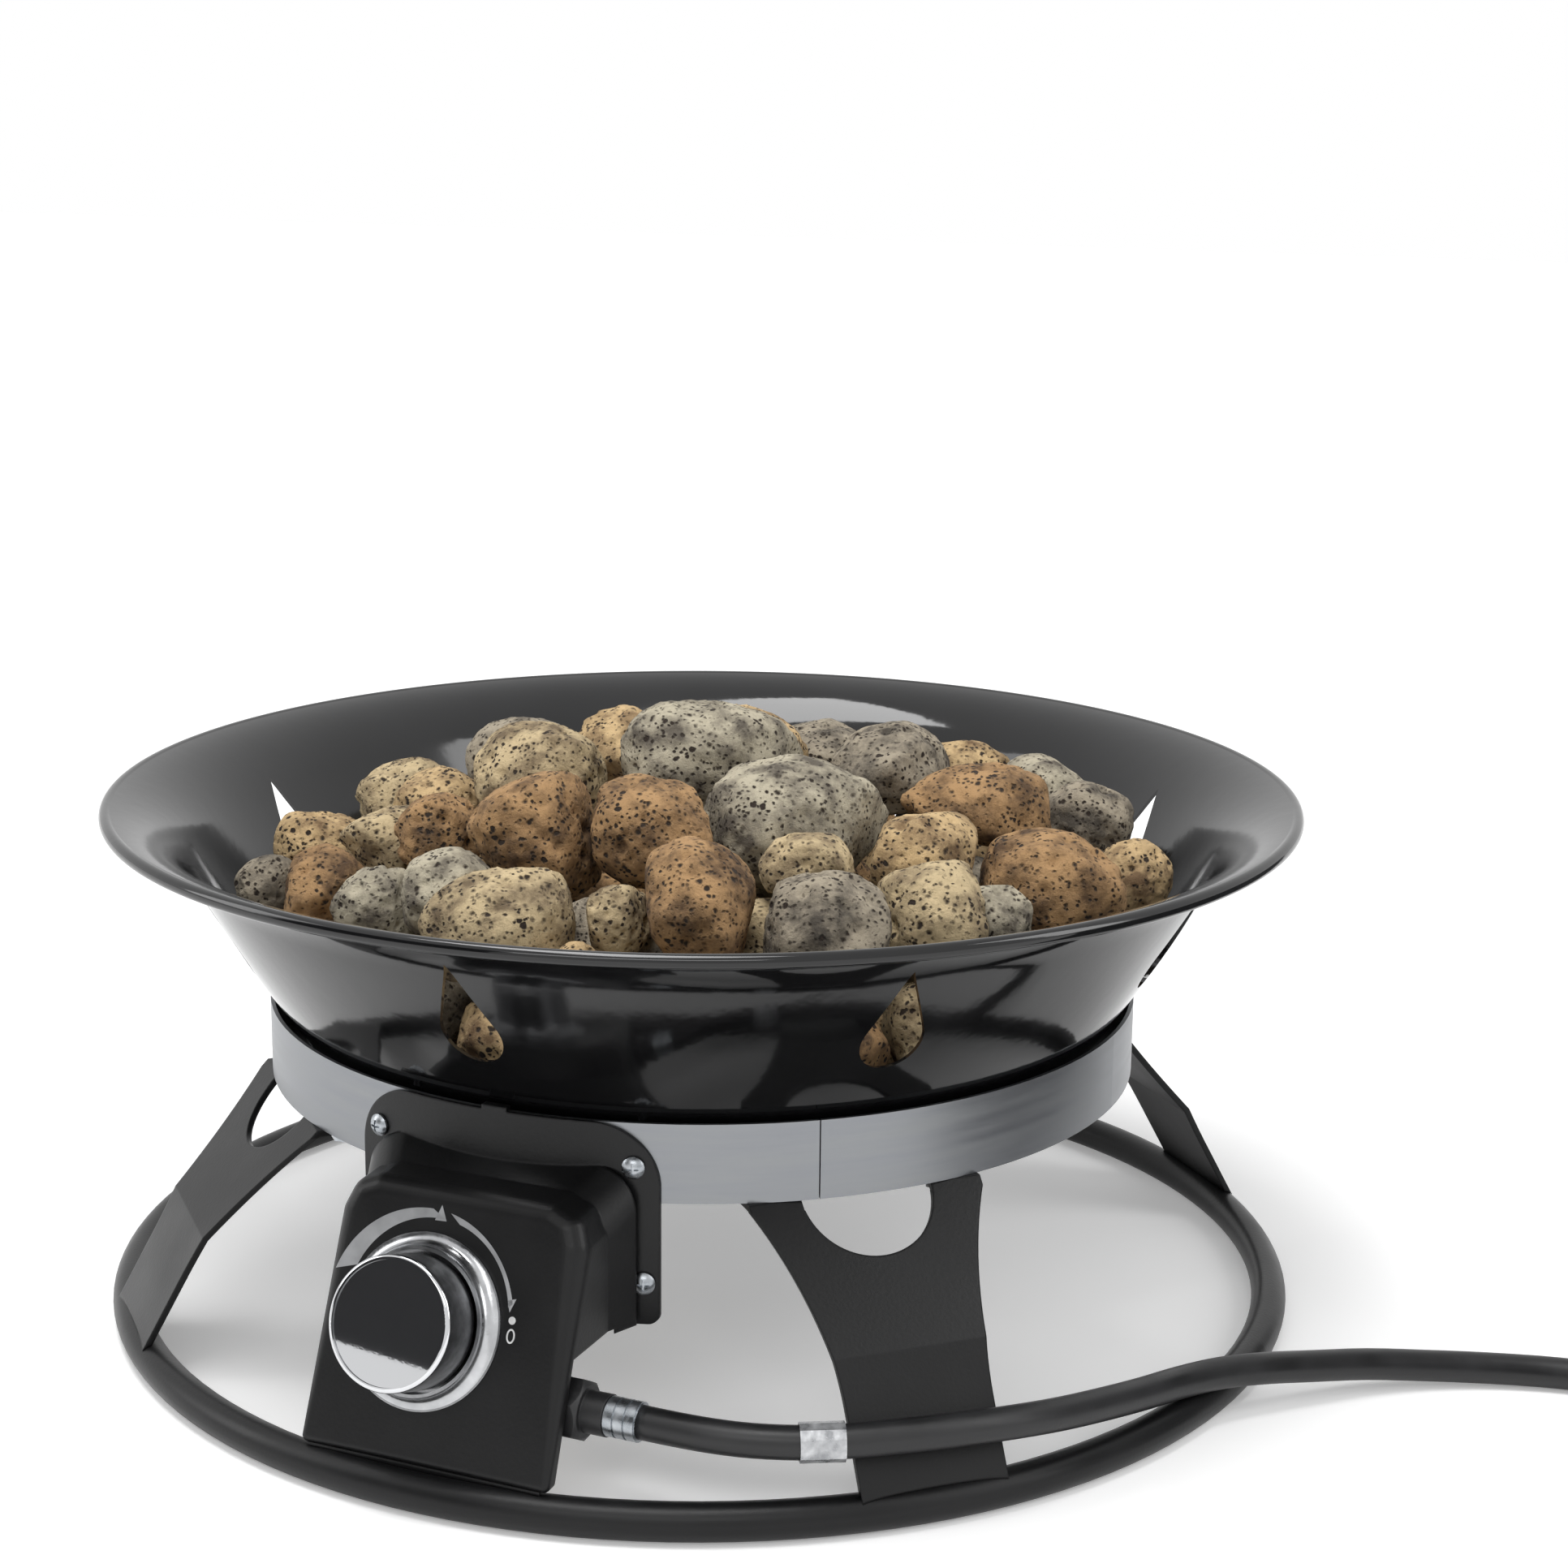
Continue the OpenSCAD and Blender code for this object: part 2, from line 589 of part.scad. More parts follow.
module hood_form(inset) hull() {
    for (s = [-1, 1]) {
        for (k = [0:45:90]) face_ball(
            s * (half_w - hood_round + (hood_round - edge_round) * cos(k)),
            housing_top - 2 - hood_round + (hood_round - edge_round) * sin(k), edge_round, inset);
        face_ball(s * (half_w - apron_round), apron_z + apron_round, apron_round, inset);
        translate([s * (half_w - hood_round), -hood_back, housing_top - hood_round])
            rotate([90, 0, 0]) cylinder(r = hood_round - inset, h = 1, $fn = 48);
        translate([s * (half_w - 1 - inset) - 1, -hood_back - 1, apron_z + 3]) cube([2, 1, 2]);
    }
}

// The pressing widens into the flange: its front end lies just inside the hood
flare_len = 14;
flare_sink = 2.5;
module flare_form(inset) hull() for (k = [0, 1])
    translate([0, -band_r + 3 - flare_len * k, side_wall_z - 2]) rotate([90, 0, 0])
        linear_extrude(0.1) round_rect(housing_w + 2 * flare_w * (1 - k) - k - 2 * inset,
            housing_top - side_wall_z + 2 + flare_w * (1 - k) - flare_sink * k - inset,
            0.5, hood_round);

module flange_plate() {
    intersection() {
        disc(flange_r, flange_r + sheet_t, flange_z, flange_top - flange_z + 2);
        outward_cut(0, band_r + 10) translate([0, flange_z])
            round_rect(2 * (flange_r + sheet_t) * sin(flange_angle), flange_top - flange_z, 4, 24);
    }
    // hook over the band's upper edge
    intersection() {
        disc(band_r - sheet_t - 0.3, flange_r + sheet_t, flange_top - 0.5, 0.5 + seat + sheet_t);
        translate([-hook_w / 2, -band_r - 5, flange_top - 1]) cube([hook_w, 20, 5]);
    }
}

module control_housing() color(POWDER) difference() {
    union() {
        flange_plate();
        hood_form(0);
        flare_form(0);
    }
    hood_form(sheet_t);
    flare_form(sheet_t);
    translate([0, 0, -1]) cylinder(r = flange_r, h = flange_top + 1 + seat);
    // below the side walls only the apron is left, with a narrow return
    difference() {
        radial_profile(housing_w + 2) polygon([
            [0, 0], [0, side_wall_z], [face_h(side_wall_z, apron_return), side_wall_z],
            [face_h(0, apron_return), 0]]);
        translate([0, 0, flange_z])
            cylinder(r = flange_r + sheet_t + 0.05, h = side_wall_z - flange_z + 1);
    }
    on_face() translate([0, 0, -sheet_t - 1])
        cylinder(r = bushing_r + hole_play, h = sheet_t + 2);
    at_screws([screw_high, screw_low]) translate([0, 0, -1])
        cylinder(r = screw_r + hole_play, h = sheet_t + seat + 2, $fn = 32);
}

module housing_screws() color(ZINC) at_screws([screw_high, screw_low]) {
    head_r = 4.2;
    head_h = 2.8;
    translate([0, 0, -sheet_t - 3]) cylinder(r = screw_r, h = 2 * sheet_t + 4, $fn = 32);
    translate([0, 0, seat + sheet_t + 0.25]) difference() {
        rotate_extrude($fn = 48) intersection() {
            translate([0, head_h - head_r * 1.3]) circle(r = head_r * 1.3);
            square([head_r, head_h]);
        }
        for (a = [0, 90]) rotate([0, 0, a]) translate([-2.2, -0.4, head_h - 1.2]) cube([4.4, 0.8, 2]);
    }
}

// --- inlet and hose --------------------------------------------------------

hose_r = hose_d / 2;
nut_x = 37;
collar_x = 53;
ferrule_x = 61.5;
ferrule_len = 12.5;
hose_x = ferrule_x + ferrule_len;
spigot_r = 6;

module inlet_elbow() color(BRASS) translate([knob_x, inlet_y, fitting_z]) {
    cylinder(r = 6.5, h = inlet_boss_z - fitting_z - 0.05);
    cylinder(r = 5, h = inlet_boss_z - fitting_z + 6.5);
    sphere(r = 6.5);
    rotate([0, 90, 0]) cylinder(r = 6.5, h = 16);
    rotate([0, 90, 0]) cylinder(r = spigot_r, h = nut_x + 7 - knob_x);
}

module hose_nut() color(POWDER) translate([nut_x, inlet_y, fitting_z]) rotate([0, 90, 0]) difference() {
    union() {
        intersection() {
            hex(20.5, collar_x - nut_x);
            rotate_extrude() polygon([[0, 0], [10.6, 0], [12, 1], [12, collar_x - nut_x - 2],
                [9.5, collar_x - nut_x], [0, collar_x - nut_x]]);
        }
        cylinder(r = 7.6, h = ferrule_x - nut_x);
    }
    translate([0, 0, -1]) cylinder(r = spigot_r + 0.05, h = 9);
}

module crimped_ferrule(len) rotate([0, 90, 0]) rotate_extrude() {
    square([hose_r + 0.5, len]);
    for (k = [0:2]) translate([0, k * len / 3 + 0.4]) square([hose_r + 1.1, len / 3 - 0.8]);
}

module hose_ferrule() color(ZINC) translate([ferrule_x, inlet_y, fitting_z]) crimped_ferrule(ferrule_len);

// Sweeps a tube of n sides along points; every face is a triangle
function dir_at(p, i) = unit(p[min(i + 1, len(p) - 1)] - p[max(i - 1, 0)]);
function side_at(p, i) = let (d = dir_at(p, i)) unit([d.y, -d.x, 0]);
module tube(p, r, n) {
    last = len(p) - 1;
    rings = [for (i = [0:last]) let (s = side_at(p, i), u = cross(s, dir_at(p, i)))
        for (k = [0:n - 1]) p[i] + r * (cos(360 * k / n) * s + sin(360 * k / n) * u)];
    walls = [for (i = [0:last - 1]) for (k = [0:n - 1]) let (a = i * n + k, b = i * n + (k + 1) % n)
        each [[a, b, a + n], [b, b + n, a + n]]];
    caps = [for (k = [1:n - 2]) each [[0, k + 1, k], [last * n, last * n + k, last * n + k + 1]]];
    polyhedron(points = rings, faces = concat(walls, caps), convexity = 8);
}

// Free run of the hose: out of the ferrule, round the front leg, over the base
// ring and down to the ground, then straight into the coil
coil_c = [452, 125];
coil_in_z = hose_r + 0.2;
layer_rise = hose_d + 0.6;
coil_turns = 5.875;
coil_pitch = hose_d + 0.7;
coil_out_r = coil_mean_d / 2 + coil_pitch * coil_turns / 4;
coil_in_r = coil_mean_d / 2 - coil_pitch * coil_turns / 4;
coil_lead = hose_d + 0.3;
coil_start = [coil_c.x, coil_c.y - coil_out_r, coil_in_z];
route = [
    [74.2, -208, 36], [87, -208, 36], [101, -207.2, 36], [114.5, -203.8, 35.5], [129, -197.6, 35],
    [143, -190, 35], [158, -179, 35], [174, -165, 34.5], [189, -148, 33], [201, -128, 30],
    [211, -106, 26.5], [219, -85, 23], [227, -65, 20.4], [238, -48, 19.2], [251, -33, 17.4],
    [266, -17, 14.5], [283, 0, 11.5], [303, 15, 8.5], [326, 27, 6.8], [352, 35, 6.3],
    [380, 38, 6.3], [405, 38, 6.3]
];
run_points = concat([[hose_x + 2 * seat, inlet_y, fitting_z]],
    [for (i = [1:len(route) - 1]) route[i]], [coil_start - [coil_lead + seat, 0, 0]]);

module hose_run() color(RUBBER) tube(run_points, hose_r, 8);

sleeve_from = 4;
sleeve_r = hose_r + 1;
module hose_label_sleeve() color(SLEEVE) difference() {
    tube([for (i = [sleeve_from:sleeve_from + 1]) run_points[i]], sleeve_r, 12);
    tube([for (i = [sleeve_from - 1:sleeve_from + 2]) run_points[i]], hose_r + 0.4, 12);
}

// Coil: one tube that spirals in on the ground and out again on top of itself,
// climbing in the half turn where the spiral turns back
coil_steps = round(24 * coil_turns);
function coil_angle(t) = 270 + 360 * coil_turns * t;
function coil_radius(t) = coil_in_r + (coil_out_r - coil_in_r) * abs(2 * t - 1);
function coil_height(t) = coil_in_z + layer_rise * min(1, max(0, 0.5 + (t - 0.5) * coil_turns * 2));
function coil_at(t) = let (a = coil_angle(t), r = coil_radius(t))
    [coil_c.x + r * cos(a), coil_c.y + r * sin(a), coil_height(t)];
coil_end_a = coil_angle(1);
coil_end_dir = [-sin(coil_end_a), cos(coil_end_a), 0];
coil_end = coil_at(1);
coil_points = concat([coil_start - [coil_lead, 0, 0]], [for (i = [0:coil_steps]) coil_at(i / coil_steps)],
    [coil_end + coil_lead * coil_end_dir]);
coil_self_gap = min([for (i = [0:coil_steps]) for (j = [i + 12:1:coil_steps])
    norm(coil_at(i / coil_steps) - coil_at(j / coil_steps))]) - hose_d;
echo(coil_self_gap = coil_self_gap);

module hose_coil() color(RUBBER) tube(coil_points, hose_r, 6);

// Frame of the hose's far end: x runs on along the hose
module on_tail() translate(coil_end) rotate([0, 0, atan2(coil_end_dir.y, coil_end_dir.x)]) children();
tail_len = 31;
end_ferrule_x = coil_lead + tail_len;
function tail_at(x) = coil_end + x * coil_end_dir;
module hose_tail() color(RUBBER)
    tube([for (k = [0:2]) tail_at(coil_lead + seat + (tail_len - seat) * k / 2)], hose_r, 8);

module regulator_ferrule() color(ZINC) on_tail() translate([end_ferrule_x + seat, 0, 0])
    crimped_ferrule(14 - 2 * seat);

// --- regulator and cylinder connector ---------------------------------------

tail_z = coil_in_z + layer_rise;
reg_r = regulator_d / 2;
reg_boss = 8;
reg_x = end_ferrule_x + 14 + reg_boss + reg_r;
reg_low = 0.3;
reg_flange_z = tail_z + 9;
nipple_x = reg_x + reg_r + reg_boss;
nipple_r = nipple_d / 2;
coupling_len = 32;
coupling_gap = 1;
nose_len = 8;
nipple_end = nipple_x + coupling_gap + coupling_len + nose_len;

module regulator_body() color(ZINC) on_tail() {
    translate([reg_x, 0, 0]) {
        translate([0, 0, reg_low - tail_z]) cylinder(r1 = reg_r * 0.55, r2 = reg_r * 0.72, h = 8);
        translate([0, 0, reg_low - tail_z + 8])
            cylinder(r1 = reg_r * 0.72, r2 = reg_r * 0.94, h = tail_z + 3 - reg_low - 8);
        translate([0, 0, 3]) cylinder(r = reg_r, h = reg_flange_z - tail_z - 3.05);
    }
    translate([end_ferrule_x + 14, 0, 0]) rotate([0, 90, 0]) hex(15, reg_r);
    translate([reg_x, 0, 0]) rotate([0, 90, 0]) cylinder(r = 8.5, h = reg_r + reg_boss);
}

module regulator_bonnet() color(ZINC) on_tail() translate([reg_x, 0, reg_flange_z - tail_z]) {
    difference() {
        rotate_extrude() {
            square([reg_r, 2.5]);
            polygon([[0, 0], [reg_r * 0.86, 0], [reg_r * 0.78, 8], [reg_r * 0.42, 12], [0, 12]]);
        }
        for (a = [0:60:300]) rotate([0, 0, a + 30]) translate([reg_r * 0.93, 0, 1.5])
            cylinder(r = 1.2, h = 2, $fn = 16);
    }
    translate([0, 0, 11.5]) cylinder(r = reg_r * 0.3, h = 5);
}

module connector_nipple() color(BRASS) on_tail() translate([nipple_x, 0, 0]) rotate([0, 90, 0]) {
    len = nipple_end - nipple_x;
    cylinder(r = nipple_r, h = len);
    translate([0, 0, len]) cylinder(r1 = nipple_r, r2 = nipple_r - 1.5, h = 1.5);
    cylinder(r = nipple_r + 2.5, h = coupling_gap - 0.4);
}

seal_r = 1;
module nipple_seal() color(RUBBER) on_tail()
    translate([nipple_x + coupling_gap + coupling_len - 6, 0, 0]) rotate([0, 90, 0]) rotate_extrude()
        translate([nipple_r + seal_r + 0.05, 0]) circle(r = seal_r, $fn = 24);

module coupling_nut() color(POWDER) on_tail()
    translate([nipple_x + coupling_gap, 0, 0]) rotate([0, 90, 0]) difference() {
        union() {
            cylinder(r = coupling_d / 2 - 1.5, h = coupling_len);
            cylinder(r = coupling_d / 2 - 3.5, h = coupling_len + 0.5);
            for (i = [0:11]) rotate([0, 0, i * 30]) translate([coupling_d / 2 - 2.2, 0, 2])
                cylinder(r = 2.2, h = coupling_len - 6, $fn = 24);
        }
        translate([0, 0, -1]) cylinder(r = nipple_r + run_fit, h = coupling_len + 3);
        translate([0, 0, 10]) cylinder(r = coupling_d / 2 - 5, h = coupling_len);
    }

// --- lava stones ---------------------------------------------------------------
// Each stone is the hull of points on a rough ball. A point stops at the plane
// shared with each neighbour, at the bowl and at the burner, so that stones bear on
// what lies round them and never run into it. A stone is [x, y, z, radius].

// A ring of stones of one size, their middles at a height over the bowl's floor
function stone_ring(n, r, h, size, turn) = [for (i = [0:n - 1]) let (a = turn + 360 * i / n)
    [r * sin(a), -r * cos(a), bowl_floor + h + 0.1 * size * sin(137 * i), size]];
floor_stones = stone_ring(14, floor_ring_r, 22.4, 29, 6);
wall_stones = stone_ring(18, wall_ring_r, 44.4, 30, 0);
inner_stones = concat(stone_ring(11, inner_ring_r, 64.4, 33, 10),
    stone_ring(5, inner_ring_r - 60, 56.4, 34, 30));
heap_z = bowl_floor + 95.4;
// The visible stones, placed by hand, with their heights from heap_z; a fifth number
// flattens a stone
heap = [
    [-149, -93, -25, 15], [-157, -42, -22, 21], [-119, -97, -25, 26], [-106, -66, -11, 26, 0.8],
    [-82, -120, -21, 21], [-112, -20, -7, 25, 0.8], [-32, -83, 4, 32], [-52, -118, -12, 24],
    [-8, -145, -14, 33, 0.85], [24, -126, -10, 18], [10, -76, 11, 29, 0.9], [54, -120, -2, 30],
    [-4, 6, 22, 44, 0.64], [-66, -14, 12, 33, 0.85], [-102, 34, 5, 28, 0.8], [50, -32, 8, 46, 0.66],
    [96, -106, -9, 33, 0.8], [127, -74, -11, 26], [107, -28, -1, 28, 0.85], [104, 44, 3, 31, 0.8],
    [148, -10, -12, 34, 0.75], [168, 42, -21, 20], [134, 88, -12, 24], [50, 80, 8, 34, 0.7],
    [-22, 76, 10, 36, 0.7], [-78, 88, -2, 31, 0.8], [-128, 80, -14, 28], [-154, 24, -17, 24],
    [-4, 134, -8, 32, 0.8], [60, 132, -10, 31, 0.8], [-58, 136, -13, 29], [102, 126, -14, 26],
    [-80, -76, 0, 20], [20, -154, -22, 14], [78, -76, 2, 20], [140, -52, -16, 20]
];
top_stones = [for (s = heap) [s.x, s.y, s.z + heap_z, s[3], len(s) > 4 ? s[4] : 1]];
all_stones = concat(floor_stones, wall_stones, inner_stones, top_stones);
beside_burner = len(floor_stones) + len(wall_stones);  // these stand round it, the rest above

function centre(s) = [s.x, s.y, s.z];
function hash(i, k) = let (v = sin(i * 127.1 + k * 311.7) * 4375.85) v - floor(v);
function ball_dirs(n) = [for (i = [0:n - 1])
    let (z = 1 - 2 * (i + 0.5) / n, s = sqrt(1 - z * z), a = 137.508 * i)
    [s * cos(a), s * sin(a), z]];
function tumbled(d, a, b) = let (x = d.x * cos(a) + d.y * sin(a), y = d.y * cos(a) - d.x * sin(a))
    [x, y * cos(b) + d.z * sin(b), d.z * cos(b) - y * sin(b)];
function rough_r(i, d, k) = let (s = all_stones[i], flat = len(s) > 4 ? s[4] : 1,
    t = tumbled([d.x, d.y, d.z / flat], 360 * hash(i, 95), 60 * hash(i, 96) - 30),
    q = [t.x / (1.02 + 0.28 * hash(i, 91)), t.y / (0.8 + 0.2 * hash(i, 92)),
        t.z / (0.84 + 0.2 * hash(i, 93))])
    s[3] * (0.92 + 0.19 * hash(i, k)) / norm(q);
// distance to the plane shared with neighbour j, along d
function plane_t(i, j, d) = let (v = centre(all_stones[j]) - centre(all_stones[i]), l = norm(v),
    c = d * v / l, share = all_stones[i][3] / (all_stones[i][3] + all_stones[j][3]))
    c > 0.01 ? (l * share - stone_gap / 2) / c : 1000;
// distance to the burner's outer side or its top, taken as planes
function burner_t(i, d) = let (c = centre(all_stones[i]), r = norm([c.x, c.y]),
    down = i < beside_burner ? -(d.x * c.x + d.y * c.y) / r : -d.z,
    room = i < beside_burner ? r - burner_out_r : c.z - burner_top)
    down > 0.01 ? (room - stone_gap) / down : 1000;
function free_at(p) = norm([p.x, p.y]) < bowl_inner_r(p.z - bowl_z) - stone_gap
    && p.z > bowl_floor + stone_gap;
function back_off(c, d, lo, hi, n) = n == 0 ? lo : let (m = (lo + hi) / 2)
    free_at(c + m * d) ? back_off(c, d, m, hi, n - 1) : back_off(c, d, lo, m, n - 1);
function reach(i, near, d, k) = let (c = centre(all_stones[i]),
    t = min(concat([rough_r(i, d, k), burner_t(i, d)], [for (j = near) plane_t(i, j, d)])))
    free_at(c + t * d) ? t : back_off(c, d, 0, t, 11);
function apart(i, j) = norm(centre(all_stones[j]) - centre(all_stones[i]));
function neighbours(i) = [for (j = [0:len(all_stones) - 1])
    if (j != i && apart(i, j) < 1.25 * (all_stones[i][3] + all_stones[j][3])) j];
function stone_points(i, n) = let (near = neighbours(i), c = centre(all_stones[i]),
    dirs = concat(ball_dirs(n), [for (j = near) unit(centre(all_stones[j]) - c)], [[0, 0, -1],
        unit([c.x, c.y, -0.5 * norm([c.x, c.y])])]))
    [for (k = [0:len(dirs) - 1]) c + reach(i, near, dirs[k], k) * dirs[k]];

// Convex stone over a list of points
module stone(points) hull() polyhedron(points = points,
    faces = [for (k = [0:len(points) - 3]) [k, k + 1, k + 2]]);
module stones(first, count, n) color(LAVA) for (i = [first:first + count - 1]) stone(stone_points(i, n));

module stones_floor_ring() stones(0, len(floor_stones), 22);
module stones_wall_ring() stones(len(floor_stones), len(wall_stones), 22);
module stones_inner() stones(len(floor_stones) + len(wall_stones), len(inner_stones), 24);
module stones_top() stones(len(all_stones) - len(top_stones), len(top_stones), 30);

base_ring();
leg(-45);  // leg_front_left
leg(45);  // leg_front_right
leg(-135);  // leg_rear_left
leg(135);  // leg_rear_right
leg_bolts();
leg_nuts();
base_band();
base_pan();
fire_bowl();
bulkhead_nuts();
riser_pipe();
burner_ring();
burner_elbow();
mixer_tube();
gas_jet();
valve_body();
valve_plug();
valve_stem();
stem_collar();
valve_nut();
knob_bezel();
control_knob();
control_housing();
housing_screws();
inlet_elbow();
hose_nut();
hose_ferrule();
hose_run();
hose_label_sleeve();
hose_coil();
hose_tail();
regulator_ferrule();
regulator_body();
regulator_bonnet();
connector_nipple();
nipple_seal();
coupling_nut();
stones_floor_ring();
stones_wall_ring();
stones_inner();
stones_top();
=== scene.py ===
"""Tabletop gas fire pit: finishes, bowl, hose, lava stones, dial print and apron hem.

Metres, in the frame of the CAD: the ring stands on z = 0 and the control housing
faces -Y. Sizes that belong to the product are written in millimetres and turned
to metres by mm().
"""
import json
import math

import bmesh
import bpy
import numpy as np
from mathutils import Matrix, Vector, noise


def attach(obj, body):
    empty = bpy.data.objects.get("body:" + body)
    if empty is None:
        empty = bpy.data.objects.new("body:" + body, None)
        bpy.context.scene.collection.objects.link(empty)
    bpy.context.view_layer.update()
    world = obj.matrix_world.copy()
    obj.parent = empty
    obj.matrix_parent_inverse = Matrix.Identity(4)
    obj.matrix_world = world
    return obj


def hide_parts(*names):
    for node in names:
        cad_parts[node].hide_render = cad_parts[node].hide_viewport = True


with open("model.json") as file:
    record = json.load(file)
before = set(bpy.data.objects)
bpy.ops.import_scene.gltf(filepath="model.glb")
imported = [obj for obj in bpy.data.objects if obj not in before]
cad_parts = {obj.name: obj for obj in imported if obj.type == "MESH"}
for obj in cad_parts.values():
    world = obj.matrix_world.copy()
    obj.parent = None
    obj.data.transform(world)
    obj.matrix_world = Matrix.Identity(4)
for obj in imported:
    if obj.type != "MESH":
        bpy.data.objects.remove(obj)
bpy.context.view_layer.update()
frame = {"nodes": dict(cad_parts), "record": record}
nodes = frame["nodes"]
BASE = "fire_pit"


def mm(value):
    """Millimetres to metres, for a number or each number of a point."""
    if isinstance(value, (int, float)):
        return value / 1000
    return tuple(v / 1000 for v in value)


# The leaning face of the control housing, from the apron's lower edge
FACE_TILT = math.radians(20)
APRON_FOOT = Vector((0, -235, 14.6))
FACE_UP = Vector((0, math.sin(FACE_TILT), math.cos(FACE_TILT)))
FACE_OUT = Vector((0, -math.cos(FACE_TILT), math.sin(FACE_TILT)))

# --- camera -------------------------------------------------------------------
# Fitted to the rim, the band, the ring, the legs and the vents of the photograph.

CAMERA_PLACE = (0.4892, -1.0490, 0.4892)
CAMERA_TURN = math.radians(25)  # about Z
CAMERA_YAW = 0.0279
CAMERA_PITCH = 0.2346
CAMERA_ROLL = 0.0106
SENSOR = 36.0
FOCAL_PIXELS = 3593.1
PHOTO_PIXELS = 1932


def make_camera():
    forward = Vector((
        math.sin(CAMERA_YAW) * math.cos(CAMERA_PITCH),
        math.cos(CAMERA_YAW) * math.cos(CAMERA_PITCH),
        -math.sin(CAMERA_PITCH),
    ))
    right = Vector((math.cos(CAMERA_YAW), -math.sin(CAMERA_YAW), 0))
    up = right.cross(forward)
    rolled_right = right * math.cos(CAMERA_ROLL) + up * math.sin(CAMERA_ROLL)
    rolled_up = up * math.cos(CAMERA_ROLL) - right * math.sin(CAMERA_ROLL)
    axes = Matrix((rolled_right, rolled_up, -forward)).transposed()
    data = bpy.data.cameras.new("camera")
    data.sensor_width = SENSOR
    data.lens = FOCAL_PIXELS * SENSOR / PHOTO_PIXELS
    data.clip_start = 0.05
    data.clip_end = 20
    camera = bpy.data.objects.new("camera", data)
    bpy.context.collection.objects.link(camera)
    turned = Matrix.Rotation(CAMERA_TURN, 4, "Z") @ axes.to_4x4()
    camera.matrix_world = Matrix.Translation(CAMERA_PLACE) @ turned
    bpy.context.scene.camera = camera


make_camera()

# --- colours and nodes ----------------------------------------------------------


def linear(hex_colour):
    """A colour written as sRGB hex, as linear RGBA."""
    parts = [int(hex_colour[i:i + 2], 16) / 255 for i in (1, 3, 5)]
    return tuple(
        c / 12.92 if c <= 0.04045 else ((c + 0.055) / 1.055) ** 2.4 for c in parts
    ) + (1.0,)


def per_mm(size):
    """Texture scale that makes one feature about this many millimetres."""
    return 1000.0 / size


def add_node(tree, kind, inputs=None, **settings):
    """Adds a node. An input is a value, or the socket that feeds it."""
    made = tree.nodes.new(kind)
    for name, value in settings.items():
        setattr(made, name, value)
    for name, value in (inputs or {}).items():
        if isinstance(value, bpy.types.NodeSocket):
            tree.links.new(value, made.inputs[name])
        else:
            made.inputs[name].default_value = value
    return made


def surface(name, metallic=0.0, ior=1.45):
    """A new material, its node tree, its shader and the object's own coordinates.

    A metal keeps the shader's default IOR.
    """
    material = bpy.data.materials.new(name)
    material.use_nodes = True
    tree = material.node_tree
    shader = tree.nodes["Principled BSDF"]
    shader.inputs["Metallic"].default_value = metallic
    if not metallic:
        shader.inputs["IOR"].default_value = ior
    place = add_node(tree, "ShaderNodeTexCoord").outputs["Object"]
    return material, tree, shader, place


def finish(name, tones, cloud, roughness, grain, depth, metallic=0.0, ior=1.45,
           stretch=(1, 1, 1), edge=0.0):
    """A whole material made by one coating or machining step.

    A broad cloud (mm) wanders between two tones and two roughnesses, and a fine
    grain (mm) stands up by a depth (mm). Stretch draws both out along an axis, and
    edge rounds the look of sharp bends by a radius (mm).
    """
    material, tree, shader, place = surface(name, metallic, ior)
    drawn = add_node(tree, "ShaderNodeMapping", {"Vector": place, "Scale": stretch})
    broad = add_node(tree, "ShaderNodeTexNoise", {
        "Vector": drawn.outputs["Vector"], "Scale": per_mm(cloud), "Detail": 3.0})
    share = add_node(tree, "ShaderNodeMapRange", {
        "Value": broad.outputs[0], "From Min": 0.3, "From Max": 0.7})
    colour = add_node(tree, "ShaderNodeMix", {
        0: share.outputs["Result"], 6: linear(tones[0]), 7: linear(tones[1])}, data_type="RGBA")
    tree.links.new(colour.outputs[2], shader.inputs["Base Color"])
    gloss = add_node(tree, "ShaderNodeMapRange", {
        "Value": share.outputs["Result"], "To Min": roughness[0], "To Max": roughness[1]})
    tree.links.new(gloss.outputs["Result"], shader.inputs["Roughness"])
    fine = add_node(tree, "ShaderNodeTexNoise", {
        "Vector": drawn.outputs["Vector"], "Scale": per_mm(grain), "Detail": 2.0})
    raised = add_node(tree, "ShaderNodeBump", {
        "Height": fine.outputs[0], "Distance": mm(depth), "Strength": 1.0})
    if edge:
        rounded = add_node(tree, "ShaderNodeBevel", {"Radius": mm(edge)}, samples=6)
        tree.links.new(rounded.outputs["Normal"], raised.inputs["Normal"])
    tree.links.new(raised.outputs["Normal"], shader.inputs["Normal"])
    return material


# --- finishes ---------------------------------------------------------------------

# Black glass fired on steel: a wet gloss with the faint waves of the firing
enamel = finish("porcelain_enamel", ("#0a0a0b", "#121213"), 60, (0.06, 0.12), 9, 0.05, ior=1.5)
# Satin black powder, baked: an even fine pebble, drawn coarser than life to show
powder = finish("powder_coat", ("#0d0d0e", "#161617"), 45, (0.34, 0.44), 1.4, 0.05,
                ior=1.36, edge=1.2)
# Cold-rolled strip, dulled: satin grey with a faint draw along the rolling direction
strip_steel = finish("cold_rolled_steel", ("#84868a", "#8e9092"), 60, (0.36, 0.46), 6, 0.01,
                     metallic=1.0, stretch=(1, 1, 12))
# Zinc-plated steel: bluish grey, slightly cloudy
zinc = finish("zinc_plated_steel", ("#8f9499", "#b9bdc1"), 4, (0.22, 0.4), 1.2, 0.015,
              metallic=1.0)
